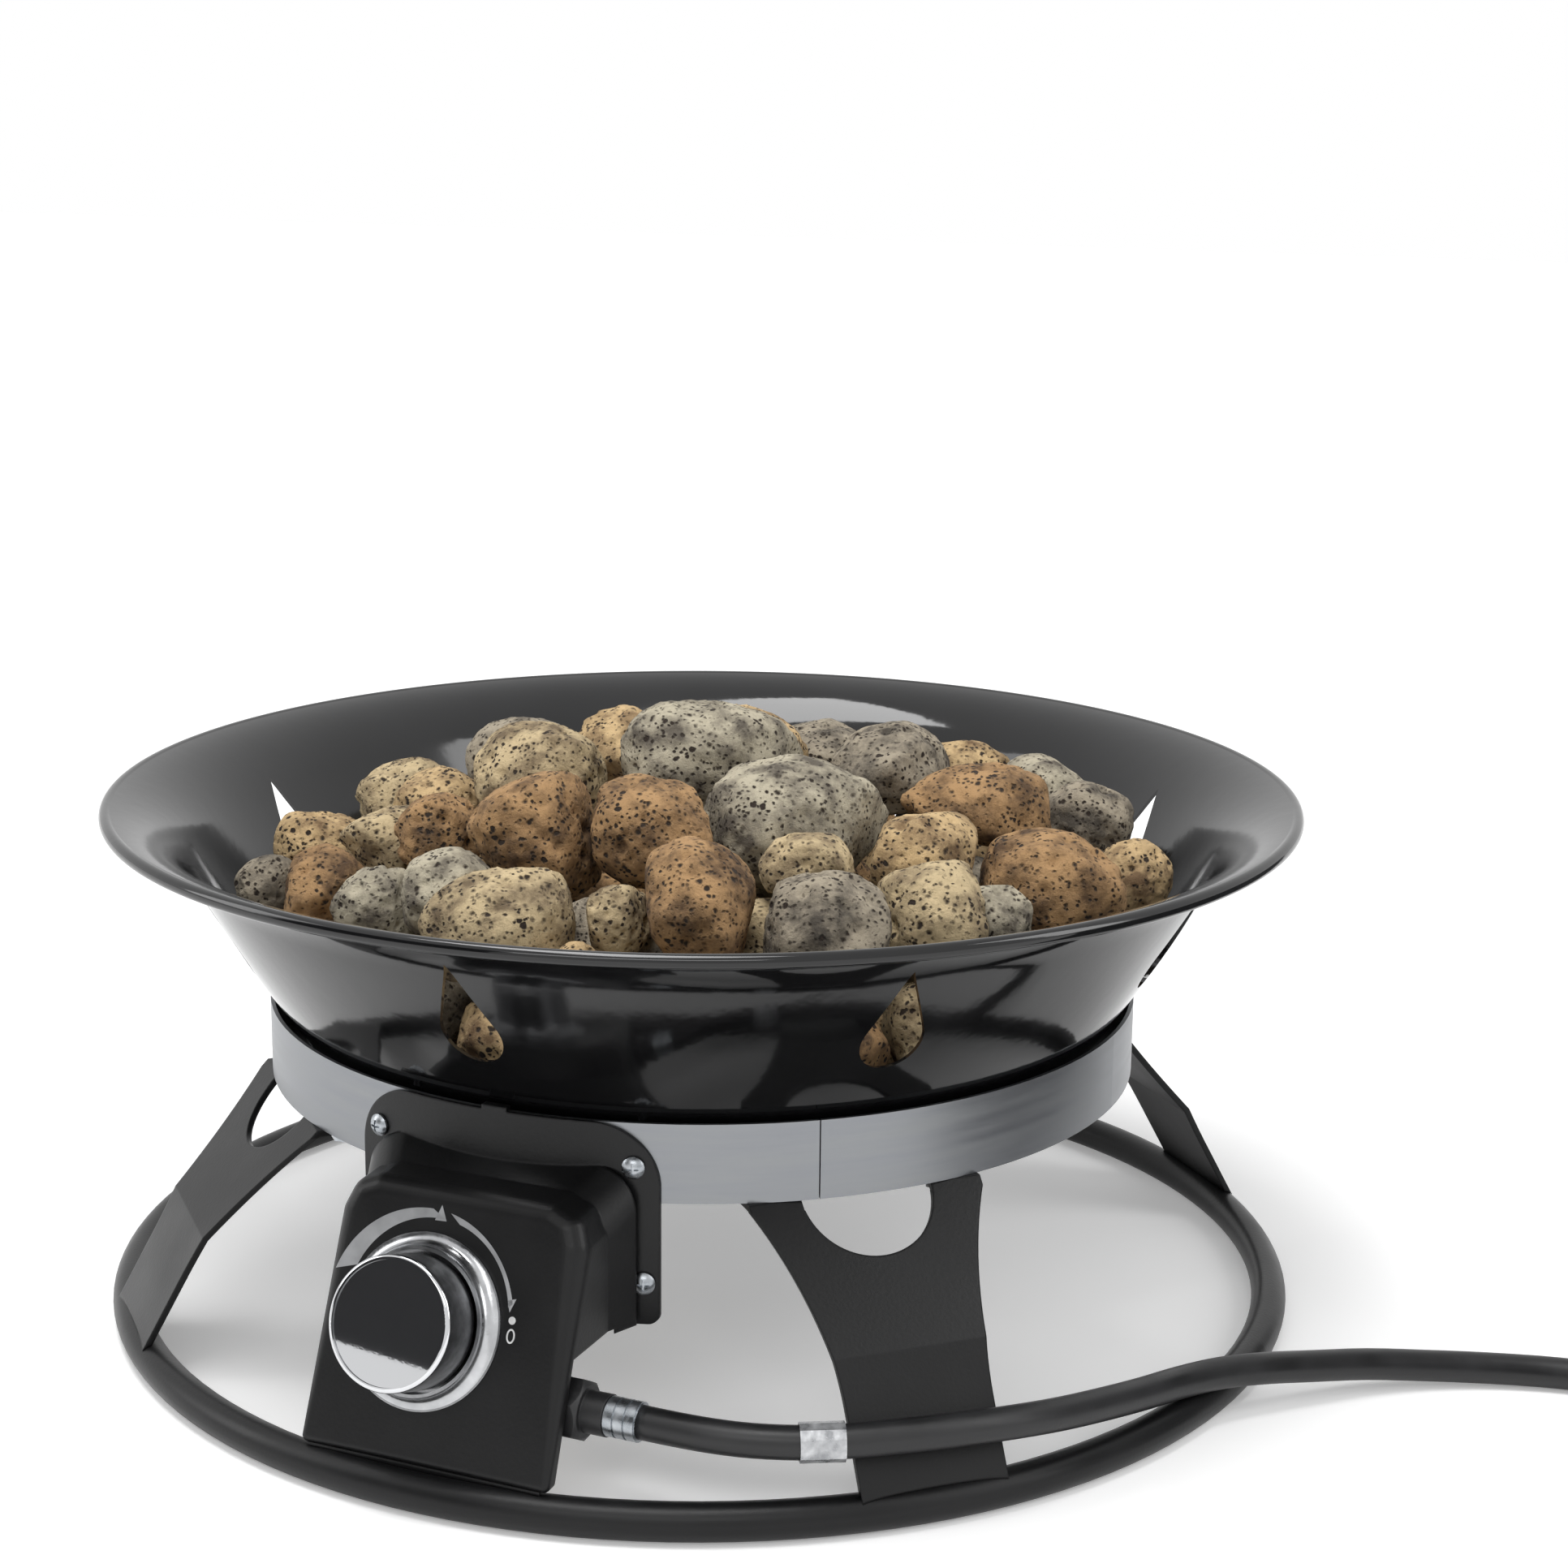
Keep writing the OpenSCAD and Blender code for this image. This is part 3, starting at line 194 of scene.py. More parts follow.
# Stainless burner parts: brushed, with straw heat tints near the flames
burner_steel = finish("heat_tinted_stainless", ("#8d8a85", "#b3a68c"), 25, (0.3, 0.5), 1.5, 0.03,
                      metallic=1.0)
# Machined brass fittings: fine turning marks and a dulled yellow
brass = finish("turned_brass", ("#b08f4a", "#d0b26a"), 8, (0.24, 0.38), 0.8, 0.01, metallic=1.0)
# Satin chrome on the bezel: blasted before plating, so it glows without a mirror
satin_chrome = finish("satin_chrome", ("#a3a4a6", "#c3c4c6"), 10, (0.16, 0.28), 0.9, 0.02,
                      metallic=1.0)
# Die-cast regulator body under grey lacquer
cast_grey = finish("lacquered_die_casting", ("#6d7073", "#85888c"), 12, (0.35, 0.45), 1.3, 0.06,
                   metallic=0.3)
# Extruded nitrile rubber: smooth matt black with a soft sheen and handling dust
rubber = finish("nitrile_rubber", ("#0f0f10", "#1b1b1d"), 18, (0.36, 0.5), 1.6, 0.04, ior=1.5)
# Black moulded nylon hand nuts, with the dull skin of the mould
nylon = finish("moulded_nylon", ("#131314", "#1d1d1f"), 10, (0.42, 0.52), 1.1, 0.05, ior=1.53,
               edge=0.6)
# Bare shrink sleeve with a crinkled silvery film
film = finish("silvered_film", ("#8f9194", "#d5d6d8"), 5, (0.22, 0.4), 4, 0.15, metallic=0.7)
# Screen-printed dial ink: thin, matt and slightly uneven
grey_ink = finish("grey_dial_ink", ("#8f9092", "#b4b5b7"), 12, (0.5, 0.6), 0.8, 0.01)
white_ink = finish("white_dial_ink", ("#c9c9c9", "#e6e6e6"), 3, (0.5, 0.6), 0.8, 0.01)


def polished_knob():
    # Chromed moulding: the face and its rounded rim are mirrors, the side is rougher and
    # its dark mottled tones are painted dark reflection. The mask is how far a spot faces
    # along the knob's axis
    material, tree, shader, place = surface("chrome_plate", metallic=1.0)
    geometry = add_node(tree, "ShaderNodeNewGeometry")
    facing = add_node(tree, "ShaderNodeVectorMath", {
        0: geometry.outputs["True Normal"], 1: tuple(FACE_OUT)}, operation="DOT_PRODUCT")
    face = add_node(tree, "ShaderNodeMapRange", {
        "Value": facing.outputs["Value"], "From Min": 0.05, "From Max": 0.35})
    mottle = add_node(tree, "ShaderNodeTexNoise", {
        "Vector": place, "Scale": per_mm(3.5), "Detail": 4.0})
    # painted reflection: dark mottled tones on the knob's side
    side_painted_reflection = add_node(tree, "ShaderNodeMix", {
        0: mottle.outputs[0], 6: linear("#3c3d3f"), 7: linear("#8a8b8d")}, data_type="RGBA")
    colour = add_node(tree, "ShaderNodeMix", {
        0: face.outputs["Result"], 6: side_painted_reflection.outputs[2], 7: linear("#cfd0d2")}, data_type="RGBA")
    tree.links.new(colour.outputs[2], shader.inputs["Base Color"])
    gloss = add_node(tree, "ShaderNodeMapRange", {
        "Value": face.outputs["Result"], "To Min": 0.3, "To Max": 0.02})
    tree.links.new(gloss.outputs["Result"], shader.inputs["Roughness"])
    grain = add_node(tree, "ShaderNodeTexNoise", {
        "Vector": place, "Scale": per_mm(1.3), "Detail": 2.0})
    raised = add_node(tree, "ShaderNodeBump", {
        "Height": grain.outputs[0], "Distance": mm(0.001), "Strength": 1.0})
    tree.links.new(raised.outputs["Normal"], shader.inputs["Normal"])
    return material


def lava(name, pale, dark):
    # Tumbled lava: gritty, smoked in patches and riddled with torn gas bubbles of about
    # 5 mm and 2 mm whose hollows are painted dark as shade. The larger hollows are modelled as
    # well
    material, tree, shader, place = surface(name)
    shader.inputs["Roughness"].default_value = 0.92
    clouds = add_node(tree, "ShaderNodeTexNoise", {
        "Vector": place, "Scale": per_mm(16), "Detail": 6.0, "Roughness": 0.62})
    blotch = add_node(tree, "ShaderNodeMapRange", {
        "Value": clouds.outputs[0], "From Min": 0.36, "From Max": 0.58})
    tint = add_node(tree, "ShaderNodeMix", {
        0: blotch.outputs["Result"], 6: linear(dark), 7: linear(pale)}, data_type="RGBA")
    tear = add_node(tree, "ShaderNodeTexNoise", {
        "Vector": place, "Scale": per_mm(3), "Detail": 2.0})
    torn = add_node(tree, "ShaderNodeVectorMath", {
        0: tear.outputs["Color"], 1: mm((2.2, 2.2, 2.2)), 2: place}, operation="MULTIPLY_ADD")
    large = add_node(tree, "ShaderNodeTexVoronoi", {
        "Vector": torn.outputs["Vector"], "Scale": per_mm(5.2)})
    small = add_node(tree, "ShaderNodeTexVoronoi", {
        "Vector": torn.outputs["Vector"], "Scale": per_mm(2.4)})
    scarce = add_node(tree, "ShaderNodeTexNoise", {
        "Vector": place, "Scale": per_mm(14), "Detail": 2.0})
    # how wide the hollows open: none where the scarce noise is high
    opening = add_node(tree, "ShaderNodeMapRange", {
        "Value": scarce.outputs[0], "From Min": 0.38, "From Max": 0.62,
        "To Min": 0.2, "To Max": 0.0})
    hollow = add_node(tree, "ShaderNodeMapRange", {
        "Value": large.outputs["Distance"],
        "From Min": opening.outputs["Result"], "From Max": 0.27})
    speck = add_node(tree, "ShaderNodeMapRange", {
        "Value": small.outputs["Distance"],
        "From Min": opening.outputs["Result"], "From Max": 0.36})
    skin = add_node(tree, "ShaderNodeMath", {
        0: hollow.outputs["Result"], 1: speck.outputs["Result"]}, operation="MULTIPLY")
    # painted shade: the bubble hollows take a dark brown
    colour = add_node(tree, "ShaderNodeMix", {
        0: skin.outputs[0], 6: linear("#2a2018"), 7: tint.outputs[2]}, data_type="RGBA")
    tree.links.new(colour.outputs[2], shader.inputs["Base Color"])
    grit = add_node(tree, "ShaderNodeTexNoise", {
        "Vector": place, "Scale": per_mm(2.2), "Detail": 5.0, "Roughness": 0.75})
    height = add_node(tree, "ShaderNodeMath", {
        0: grit.outputs[0], 1: 1.2, 2: skin.outputs[0]}, operation="MULTIPLY_ADD")
    raised = add_node(tree, "ShaderNodeBump", {
        "Height": height.outputs[0], "Distance": mm(1.0), "Strength": 1.0})
    tree.links.new(raised.outputs["Normal"], shader.inputs["Normal"])
    return material


# The tones lean warmer and lighter than the stones' own grey-tan: part of that is painted glow
# of the flames
STONE_TONES = [
    lava("lava_tan", "#cdb083", "#6d563d"),
    lava("lava_grey", "#bbb29c", "#5f584e"),
    lava("lava_sand", "#cbb68f", "#6f5f49"),
    lava("lava_brown", "#b08c62", "#56412d"),
    lava("lava_ash", "#a59a87", "#4b453d"),
]
FINISHES = {
    "enamel": enamel,
    "powder_coat": powder,
    "satin_steel": strip_steel,
    "zinc": zinc,
    "burner_steel": burner_steel,
    "brass": brass,
    "chrome": polished_knob(),
    "satin_chrome": satin_chrome,
    "cast_grey": cast_grey,
    "rubber": rubber,
    "black_plastic": nylon,
    "sleeve_film": film,
    "lava": STONE_TONES[0],
}

for entry in frame["record"]["subparts"]:
    skin = nodes[entry["node"]].data.materials
    skin.clear()
    skin.append(FINISHES[entry["material_slot"]])

# --- mesh tools -----------------------------------------------------------------


def add_mesh(name, points, faces, materials, body, smooth=True):
    """A mesh object that rides on a body and takes the given finishes."""
    mesh = bpy.data.meshes.new(name)
    mesh.from_pydata([tuple(p) for p in points], [], faces)
    for material in materials:
        mesh.materials.append(material)
    mesh.polygons.foreach_set("use_smooth", [smooth] * len(mesh.polygons))
    mesh.update()
    made = bpy.data.objects.new(name, mesh)
    bpy.context.collection.objects.link(made)
    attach(made, body)
    return made


def swept_tube(path, radius, sides):
    """Rings of points round a path, joined into a closed tube."""
    points, faces = [], []
    last = len(path) - 1
    for i, at in enumerate(path):
        along = (path[min(i + 1, last)] - path[max(i - 1, 0)]).normalized()
        across = along.cross(Vector((0, 0, 1))).normalized()
        up = across.cross(along)
        for k in range(sides):
            turn = math.tau * k / sides
            points.append(at + radius * (across * math.cos(turn) + up * math.sin(turn)))
    for i in range(last):
        for k in range(sides):
            a, b = i * sides + k, i * sides + (k + 1) % sides
            faces.append((a, b, b + sides, a + sides))
    faces.append(tuple(range(sides - 1, -1, -1)))
    faces.append(tuple(last * sides + k for k in range(sides)))
    return points, faces


# --- fire bowl ------------------------------------------------------------------
# The enamel's gloss would show the edges between the CAD mesh's cones, so the bowl
# is turned anew in one smooth run of the same section, with the same cuts.

RIM_R, ROLL_R = 241.3, 2.8
BOWL_H, BOWL_T, BOWL_Z = 109, 1.6, 103
BRIM_W, BRIM_DROP, RIM_DROP = 33, 24, 0.2
WALL_BOW = math.radians(3.8)    # half the angle that the wall turns through
PIPE_HOLE_R = 9.3
VENT_COUNT, VENT_R, VENT_TIP, VENT_Z = 8, 12, 31, BOWL_Z + 60
DRAIN_PLACE_R, DRAIN_HOLE_R = 110, 4
BOWL_SEGMENTS, WALL_STEPS, ROLL_STEPS, HOLE_STEPS = 288, 24, 28, 32
SHARP_BEND = math.radians(30)

WALL_FOOT = Vector((160, 9))
BRIM_EDGE = Vector((RIM_R - BRIM_W, BOWL_H - BRIM_DROP))
RIM_END = Vector((RIM_R - ROLL_R, BOWL_H - BOWL_T - RIM_DROP))
ROLL_CENTRE = Vector((RIM_R - ROLL_R, BOWL_H - ROLL_R))


def polar(centre, radius, start, end, steps):
    """Points of an arc between two angles in radians."""
    turns = (start + (end - start) * i / steps for i in range(steps + 1))
    return [centre + radius * Vector((math.cos(t), math.sin(t))) for t in turns]


def bowl_side(inset):
    """The section's outer side, or its inner side at the sheet's thickness.

    It runs floor, rounding, bowed wall and flared brim, each arc tangent to the last.
    """
    wall, brim = BRIM_EDGE - WALL_FOOT, RIM_END - BRIM_EDGE
    lean = math.atan2(wall.x, wall.y)
    low, high = lean + WALL_BOW, lean - WALL_BOW
    foot_r = WALL_FOOT.y / (1 - math.sin(low))
    wall_r = wall.length / (2 * math.sin(WALL_BOW))
    brim_turn = math.atan2(brim.x, brim.y) - high
    brim_r = brim.length / (2 * math.sin(brim_turn))
    foot_c = Vector((WALL_FOOT.x - foot_r * math.cos(low), foot_r))
    wall_c = WALL_FOOT - wall_r * Vector((math.cos(low), -math.sin(low)))
    brim_c = BRIM_EDGE + brim_r * Vector((math.cos(high), -math.sin(high)))
    brim_start = math.pi - high
    return (polar(foot_c, foot_r - inset, -math.pi / 2, -low, WALL_STEPS // 2)
            + polar(wall_c, wall_r - inset, -low, -high, WALL_STEPS)[1:]
            + polar(brim_c, brim_r + inset, brim_start, brim_start - 2 * brim_turn,
                    WALL_STEPS)[1:])


def up_to_roll(line):
    """The line cut where it enters the rolled rim."""
    entry = next(i for i, p in enumerate(line) if (p - ROLL_CENTRE).length < ROLL_R)
    outside, inside = line[entry - 1], line[entry]
    for _ in range(30):
        middle = (outside + inside) / 2
        if (middle - ROLL_CENTRE).length < ROLL_R:
            inside = middle
        else:
            outside = middle
    return line[:entry] + [inside]


def prism(points, faces, outline, near, far, place):
    """Adds a closed prism: the outline's u, v and the depth go through place()."""
    start, count = len(points), len(outline)
    points += [mm(place(u, v, depth)) for depth in (near, far) for u, v in outline]
    faces.append(tuple(start + i for i in reversed(range(count))))
    faces.append(tuple(start + count + i for i in range(count)))
    for i in range(count):
        a, b = start + i, start + (i + 1) % count
        faces.append((a + count, a, b, b + count))


def cut_away(made, points, faces):
    """Takes closed prisms out of a mesh."""
    tool_mesh = bpy.data.meshes.new("cutter")
    tool_mesh.from_pydata(points, [], faces)
    tool = bpy.data.objects.new("cutter", tool_mesh)
    bpy.context.collection.objects.link(tool)
    cutter = made.modifiers.new("cuts", "BOOLEAN")
    cutter.operation, cutter.solver, cutter.object = "DIFFERENCE", "EXACT", tool
    bpy.context.view_layer.update()
    seen = made.evaluated_get(bpy.context.evaluated_depsgraph_get())
    cut = bpy.data.meshes.new_from_object(seen)
    made.modifiers.clear()
    made.data = cut
    bpy.data.objects.remove(tool)


def bowl_section():
    """The closed section, counterclockwise: floor, wall, brim, roll and back inside."""
    outer, inner = up_to_roll(bowl_side(0)), up_to_roll(bowl_side(BOWL_T))
    enter, leave = outer.pop() - ROLL_CENTRE, inner.pop() - ROLL_CENTRE
    start = math.atan2(enter.y, enter.x) % math.tau
    end = math.atan2(leave.y, leave.x) % math.tau + math.tau
    return ([Vector((PIPE_HOLE_R, 0))] + outer
            + polar(ROLL_CENTRE, ROLL_R, start, end, ROLL_STEPS)
            + inner[::-1] + [Vector((PIPE_HOLE_R, BOWL_T))])


def make_bowl():
    section = bowl_section()
    count = len(section)
    points, faces = [], []
    for i in range(BOWL_SEGMENTS):
        turn = math.tau * i / BOWL_SEGMENTS
        points += [mm((p.x * math.cos(turn), p.x * math.sin(turn), BOWL_Z + p.y))
                   for p in section]
        beside = (i + 1) % BOWL_SEGMENTS
        for k in range(count):
            above = (k + 1) % count
            faces.append((i * count + k, beside * count + k,
                          beside * count + above, i * count + above))
    made = add_mesh("enamel_bowl", points, faces, [enamel], BASE)

    touch = math.acos(VENT_R / VENT_TIP)
    drop = [(0, VENT_TIP)] + [tuple(p) for p in polar(
        Vector((0, 0)), VENT_R, math.pi / 2 + touch, 2.5 * math.pi - touch, HOLE_STEPS)]
    last_turn = math.tau * (HOLE_STEPS - 1) / HOLE_STEPS
    hole = [tuple(p) for p in polar(
        Vector((0, 0)), DRAIN_HOLE_R, 0, last_turn, HOLE_STEPS - 1)]
    points, faces = [], []
    for i in range(VENT_COUNT):
        turn = math.tau * i / VENT_COUNT
        c, s = math.cos(turn), math.sin(turn)
        prism(points, faces, drop, WALL_FOOT.x, RIM_R,
              lambda u, v, depth: (u * c + depth * s, u * s - depth * c, VENT_Z + v))
    for x, y in ((0, -1), (1, 0), (0, 1), (-1, 0)):
        prism(points, faces, hole, BOWL_Z - 1, BOWL_Z + BOWL_T + 1,
              lambda u, v, depth: (x * DRAIN_PLACE_R + u, y * DRAIN_PLACE_R + v, depth))
    cut_away(made, points, faces)
    made.data.shade_smooth()
    made.data.set_sharp_from_angle(angle=SHARP_BEND)
    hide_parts("fire_bowl")


make_bowl()

# --- hose -----------------------------------------------------------------------
# The route repeats the one in the CAD: out of the ferrule, round the front leg,
# over the ring, down to the ground, then the coil and its tail to the regulator.

HOSE_D = 12.2
HOSE_LENGTH = 3050
ROUTE = [
    (74, -208, 36), (87, -208, 36), (101, -207.2, 36), (114.5, -203.8, 35.5), (129, -197.6, 35),
    (143, -190, 35), (158, -179, 35), (174, -165, 34.5), (189, -148, 33), (201, -128, 30),
    (211, -106, 26.5), (219, -85, 23), (227, -65, 20.4), (238, -48, 19.2), (251, -33, 17.4),
    (266, -17, 14.5), (283, 0, 11.5), (303, 15, 8.5), (326, 27, 6.8), (352, 35, 6.3),
    (380, 38, 6.3), (405, 38, 6.3),
]
COIL_CENTRE = (452, 125)
COIL_LOW = 6.3
LAYER_RISE = 12.8
COIL_TURNS = 5.875
COIL_PITCH = 12.9
COIL_MEAN_D = 136
COIL_LEAD = HOSE_D + 0.3
TAIL = 31
COIL_START = 270    # degrees
RUN_CUTS, TURN_STEPS, TAIL_STEPS, HOSE_SIDES = 3, 48, 6, 20


def coil_point(t):
    """A point of the coil: in to its middle on the ground, then out one layer higher."""
    spread = COIL_PITCH * COIL_TURNS / 4
    radius = COIL_MEAN_D / 2 + spread * (2 * abs(2 * t - 1) - 1)
    angle = math.radians(COIL_START + 360 * COIL_TURNS * t)
    rise = LAYER_RISE * min(1, max(0, 0.5 + (t - 0.5) * COIL_TURNS * 2))
    return Vector((COIL_CENTRE[0] + radius * math.cos(angle),
                   COIL_CENTRE[1] + radius * math.sin(angle), COIL_LOW + rise))


def smooth_path(points, cuts):
    """Points on a smooth curve through the given ones."""
    made = []
    for i in range(len(points) - 1):
        before = points[max(i - 1, 0)]
        start, end = points[i], points[i + 1]
        after = points[min(i + 2, len(points) - 1)]
        for k in range(cuts):
            t = k / cuts
            made.append(0.5 * (2 * start + (end - before) * t
                               + (2 * before - 5 * start + 4 * end - after) * t ** 2
                               + (3 * start - before - 3 * end + after) * t ** 3))
    made.append(points[-1])
    return made


def hose_path():
    coil_start = coil_point(0)
    run = [Vector(p) for p in ROUTE] + [coil_start - Vector((COIL_LEAD, 0, 0))]
    steps = round(TURN_STEPS * COIL_TURNS)
    coil = [coil_point(i / steps) for i in range(steps + 1)]
    out_angle = math.radians(COIL_START + 360 * COIL_TURNS)
    out = Vector((-math.sin(out_angle), math.cos(out_angle), 0))
    tail = [coil[-1] + out * (COIL_LEAD + TAIL) * k / TAIL_STEPS
            for k in range(1, TAIL_STEPS + 1)]
    return [p / 1000 for p in smooth_path(run, RUN_CUTS) + coil + tail]


path = hose_path()
points, faces = swept_tube(path, mm(HOSE_D / 2), HOSE_SIDES)
hose = add_mesh("gas_hose", points, faces, [rubber], BASE)
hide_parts("hose_run", "hose_coil", "hose_tail")
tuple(path[0])
mm(HOSE_LENGTH)
mm(HOSE_D)

# --- lava stones ------------------------------------------------------------------
# Each stone keeps inside its CAD hull: the hull's faces are rounded off from the
# stone's middle, then dents and bubbles are cut inwards. Sizes are in millimetres.

ROUNDING = 18       # the higher, the closer a stone keeps to its hull
DENT_SHARE = 0.075  # of the stone's own radius
DENT_WAVES = ((15, 0.6), (6, 0.35), (2.5, 0.15))     # (size, weight)
BUBBLES = ((0, 8.5, 0.42, 2.2), (50, 4.2, 0.5, 1.1))    # (shift, cell, share, depth)
BUBBLE_R = 0.45     # of a cell


def hulls_of(node):
    """The separate solids of a node, as (corner points, face planes) in millimetres."""
    bm = bmesh.new()
    bm.from_mesh(nodes[node].data)
    bmesh.ops.remove_doubles(bm, verts=bm.verts, dist=1e-6)
    left = set(bm.verts)
    while left:
        found, edge = set(), {next(iter(left))}
        while edge:
            found |= edge
            edge = {e.other_vert(v) for v in edge for e in v.link_edges} - found
        left -= found
        corners = np.array([v.co for v in found]) * 1000
        planes = [(f.normal.copy(), f.verts[0].co * 1000) for f in
                  {f for v in found for f in v.link_faces} if f.calc_area() > 1e-9]
        yield corners, planes
    bm.free()


def unit_ball(level):
    bm = bmesh.new()
    bmesh.ops.create_icosphere(bm, subdivisions=level, radius=1)
    directions = np.array([v.co for v in bm.verts])
    faces = [tuple(v.index for v in f.verts) for f in bm.faces]
    bm.free()
    return directions, faces


def bubble(at, size, share):
    """Depth from 0 to 1 of round hollows in cells of a size, in a share of the cells."""
    distances, centres = noise.voronoi(at / size)
    if noise.cell(centres[0] * 7.3) > share * 2 - 1:
        return 0.0
    return max(0.0, 1 - (distances[0] / BUBBLE_R) ** 2)


def carve_stone(corners, planes, ball):
    """The ball's points drawn out to a hull's rounded faces, then dented, in metres."""
    middle = corners.mean(axis=0)
    normals = np.array([n for n, _ in planes])
    heights = np.array([np.dot(n, np.array(p) - middle) for n, p in planes])
    reach = np.clip(ball @ normals.T, 0, None) / np.clip(heights, 0.5, None)
    radii = 1 / (reach ** ROUNDING).sum(axis=1) ** (1 / ROUNDING)
    shaped = []
    for direction, radius in zip(ball, radii):
        at = Vector(middle + direction * radius)
        dent = 0.5 + sum(weight * noise.noise(at / size) for size, weight in DENT_WAVES)
        depth = DENT_SHARE * radius * min(1, max(0, dent))
        for shift, cell, share, deep in BUBBLES:
            depth += deep * bubble(at + Vector((shift, 0, 0)), cell, share)
        shaped.append(middle + direction * (radius - depth))
    return np.array(shaped) / 1000


def make_stones(node, name, level, seed):
    ball, ball_faces = unit_ball(level)
    points, faces, tones = [], [], []
    hulls = sorted(hulls_of(node), key=lambda hull: tuple(hull[0].mean(axis=0)))
    for number, (corners, planes) in enumerate(hulls):
        start = len(points)
        points.extend(carve_stone(corners, planes, ball))
        faces.extend(tuple(i + start for i in f) for f in ball_faces)
        tones.extend([(number * 7 + seed) % len(STONE_TONES)] * len(ball_faces))
    made = add_mesh(name, points, faces, STONE_TONES, BASE)
    made.data.polygons.foreach_set("material_index", tones)
    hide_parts(node)


make_stones("stones_top", "lava_stones_top", 5, 0)
make_stones("stones_wall_ring", "lava_stones_wall", 5, 2)
make_stones("stones_inner", "lava_stones_inner", 4, 1)
make_stones("stones_floor_ring", "lava_stones_floor", 4, 3)

# --- print on the housing's leaning face ---------------------------------------------

PRINT_LIFT = 0.06
# the dial's two circles: middle u, v, radius, and the angles of both ends
DIAL_OUTER = ((-10.1, 53.0, 37.6), (163.5, 15))
DIAL_INNER = ((-7.1, 55.2, 32.4), (160, 11))


def on_face(u, v):
    """A point of the print: u to the right, v up the face from the apron's edge."""
    return (APRON_FOOT + Vector((u, 0, 0)) + FACE_UP * v + FACE_OUT * PRINT_LIFT) / 1000


def print_shape(name, outlines, ink):
    points, faces = [], []
    for outline in outlines:
        start = len(points)
        points.extend(on_face(u, v) for u, v in outline)
        faces.append(tuple(range(start, len(points))))
    add_mesh(name, points, faces, [ink], BASE, smooth=False)


def strip(outer, inner):
    """Quads between two rows of points."""
    return [[outer[i], outer[i + 1], inner[i + 1], inner[i]] for i in range(len(outer) - 1)]


def crescent(t0, t1, steps=40):
    """A stretch of the dial's arc, thick at its far end and thin at the zero mark.

    It is the space between an outer circle and a smaller one set towards the
    thin end, each run through from its left end to its right end.
    """
    rows = []
    for (u, v, r), (a0, a1) in (DIAL_OUTER, DIAL_INNER):
        start, end = (math.radians(a0 + (a1 - a0) * t) for t in (t0, t1))
        rows.append([tuple(p) for p in polar(Vector((u, v)), r, start, end, steps)])
    return strip(*rows)


def dot(u, v, r, steps=20):
    return [[(u + r * math.cos(math.tau * k / steps), v + r * math.sin(math.tau * k / steps))
             for k in range(steps)]]


print_shape("dial_arc", crescent(0, 0.49) + crescent(0.565, 1), grey_ink)
print_shape("dial_arc_tip", [[(24.1, 63.8), (25.5, 59.8), (27.4, 64.8)]], grey_ink)
print_shape("dial_top_mark", [[(-9.3, 86.7), (-4.6, 86.9), (-7.3, 92.4)]], grey_ink)
print_shape("dial_dot", dot(27.0, 57.2, 1.4), white_ink)


def zero_ring(u, v, w, h, line, steps=28):
    """A plain figure 0 as a ring of quads."""
    turns = [math.tau * k / steps for k in range(steps + 1)]
    rows = [[(u + (w - inset) * math.cos(t), v + (h - inset) * math.sin(t)) for t in turns]
            for inset in (0, line)]
    return strip(*rows)


print_shape("dial_zero", zero_ring(27.3, 51.8, 1.7, 2.6, 0.65), white_ink)

# --- apron's hem ------------------------------------------------------------------
# The apron's lower edge is turned down to the ring: a thin lip that follows the tube.

RING_R, RING_TUBE_R = 237, 7
HEM_HALF_W, HEM_FRONT, HEM_BACK, HEM_TOP, HEM_CLEAR = 47, -233.9, -232.7, 15.4, 0.25
HEM_STEPS = 32


def apron_hem():
    columns = []
    for i in range(HEM_STEPS + 1):
        x = HEM_HALF_W * (2 * i / HEM_STEPS - 1)
        out = math.hypot(x, HEM_BACK) - RING_R
        low = RING_TUBE_R + math.sqrt(RING_TUBE_R ** 2 - out ** 2) + HEM_CLEAR
        columns += [(x, HEM_FRONT, low), (x, HEM_FRONT, HEM_TOP),
                    (x, HEM_BACK, HEM_TOP), (x, HEM_BACK, low)]
    faces = []
    for i in range(HEM_STEPS):
        for k in range(4):
            a, b = 4 * i + k, 4 * i + (k + 1) % 4
            faces.append((a, b, b + 4, a + 4))
    end = 4 * HEM_STEPS
    faces += [(3, 2, 1, 0), (end, end + 1, end + 2, end + 3)]
    add_mesh("housing_apron_hem", [mm(p) for p in columns], faces, [powder], BASE,
             smooth=False)


apron_hem()

# --- floor, backdrop and light --------------------------------------------------------


def seen_directly(tree):
    """1 for rays from the camera and for those mirrored or let through, else 0."""
    rays = add_node(tree, "ShaderNodeLightPath").outputs
    seen = add_node(tree, "ShaderNodeMath", {
        0: rays["Is Camera Ray"], 1: rays["Is Glossy Ray"]}, operation="MAXIMUM")
    return add_node(tree, "ShaderNodeMath", {
        0: seen.outputs[0], 1: rays["Is Transmission Ray"]}, operation="MAXIMUM").outputs[0]


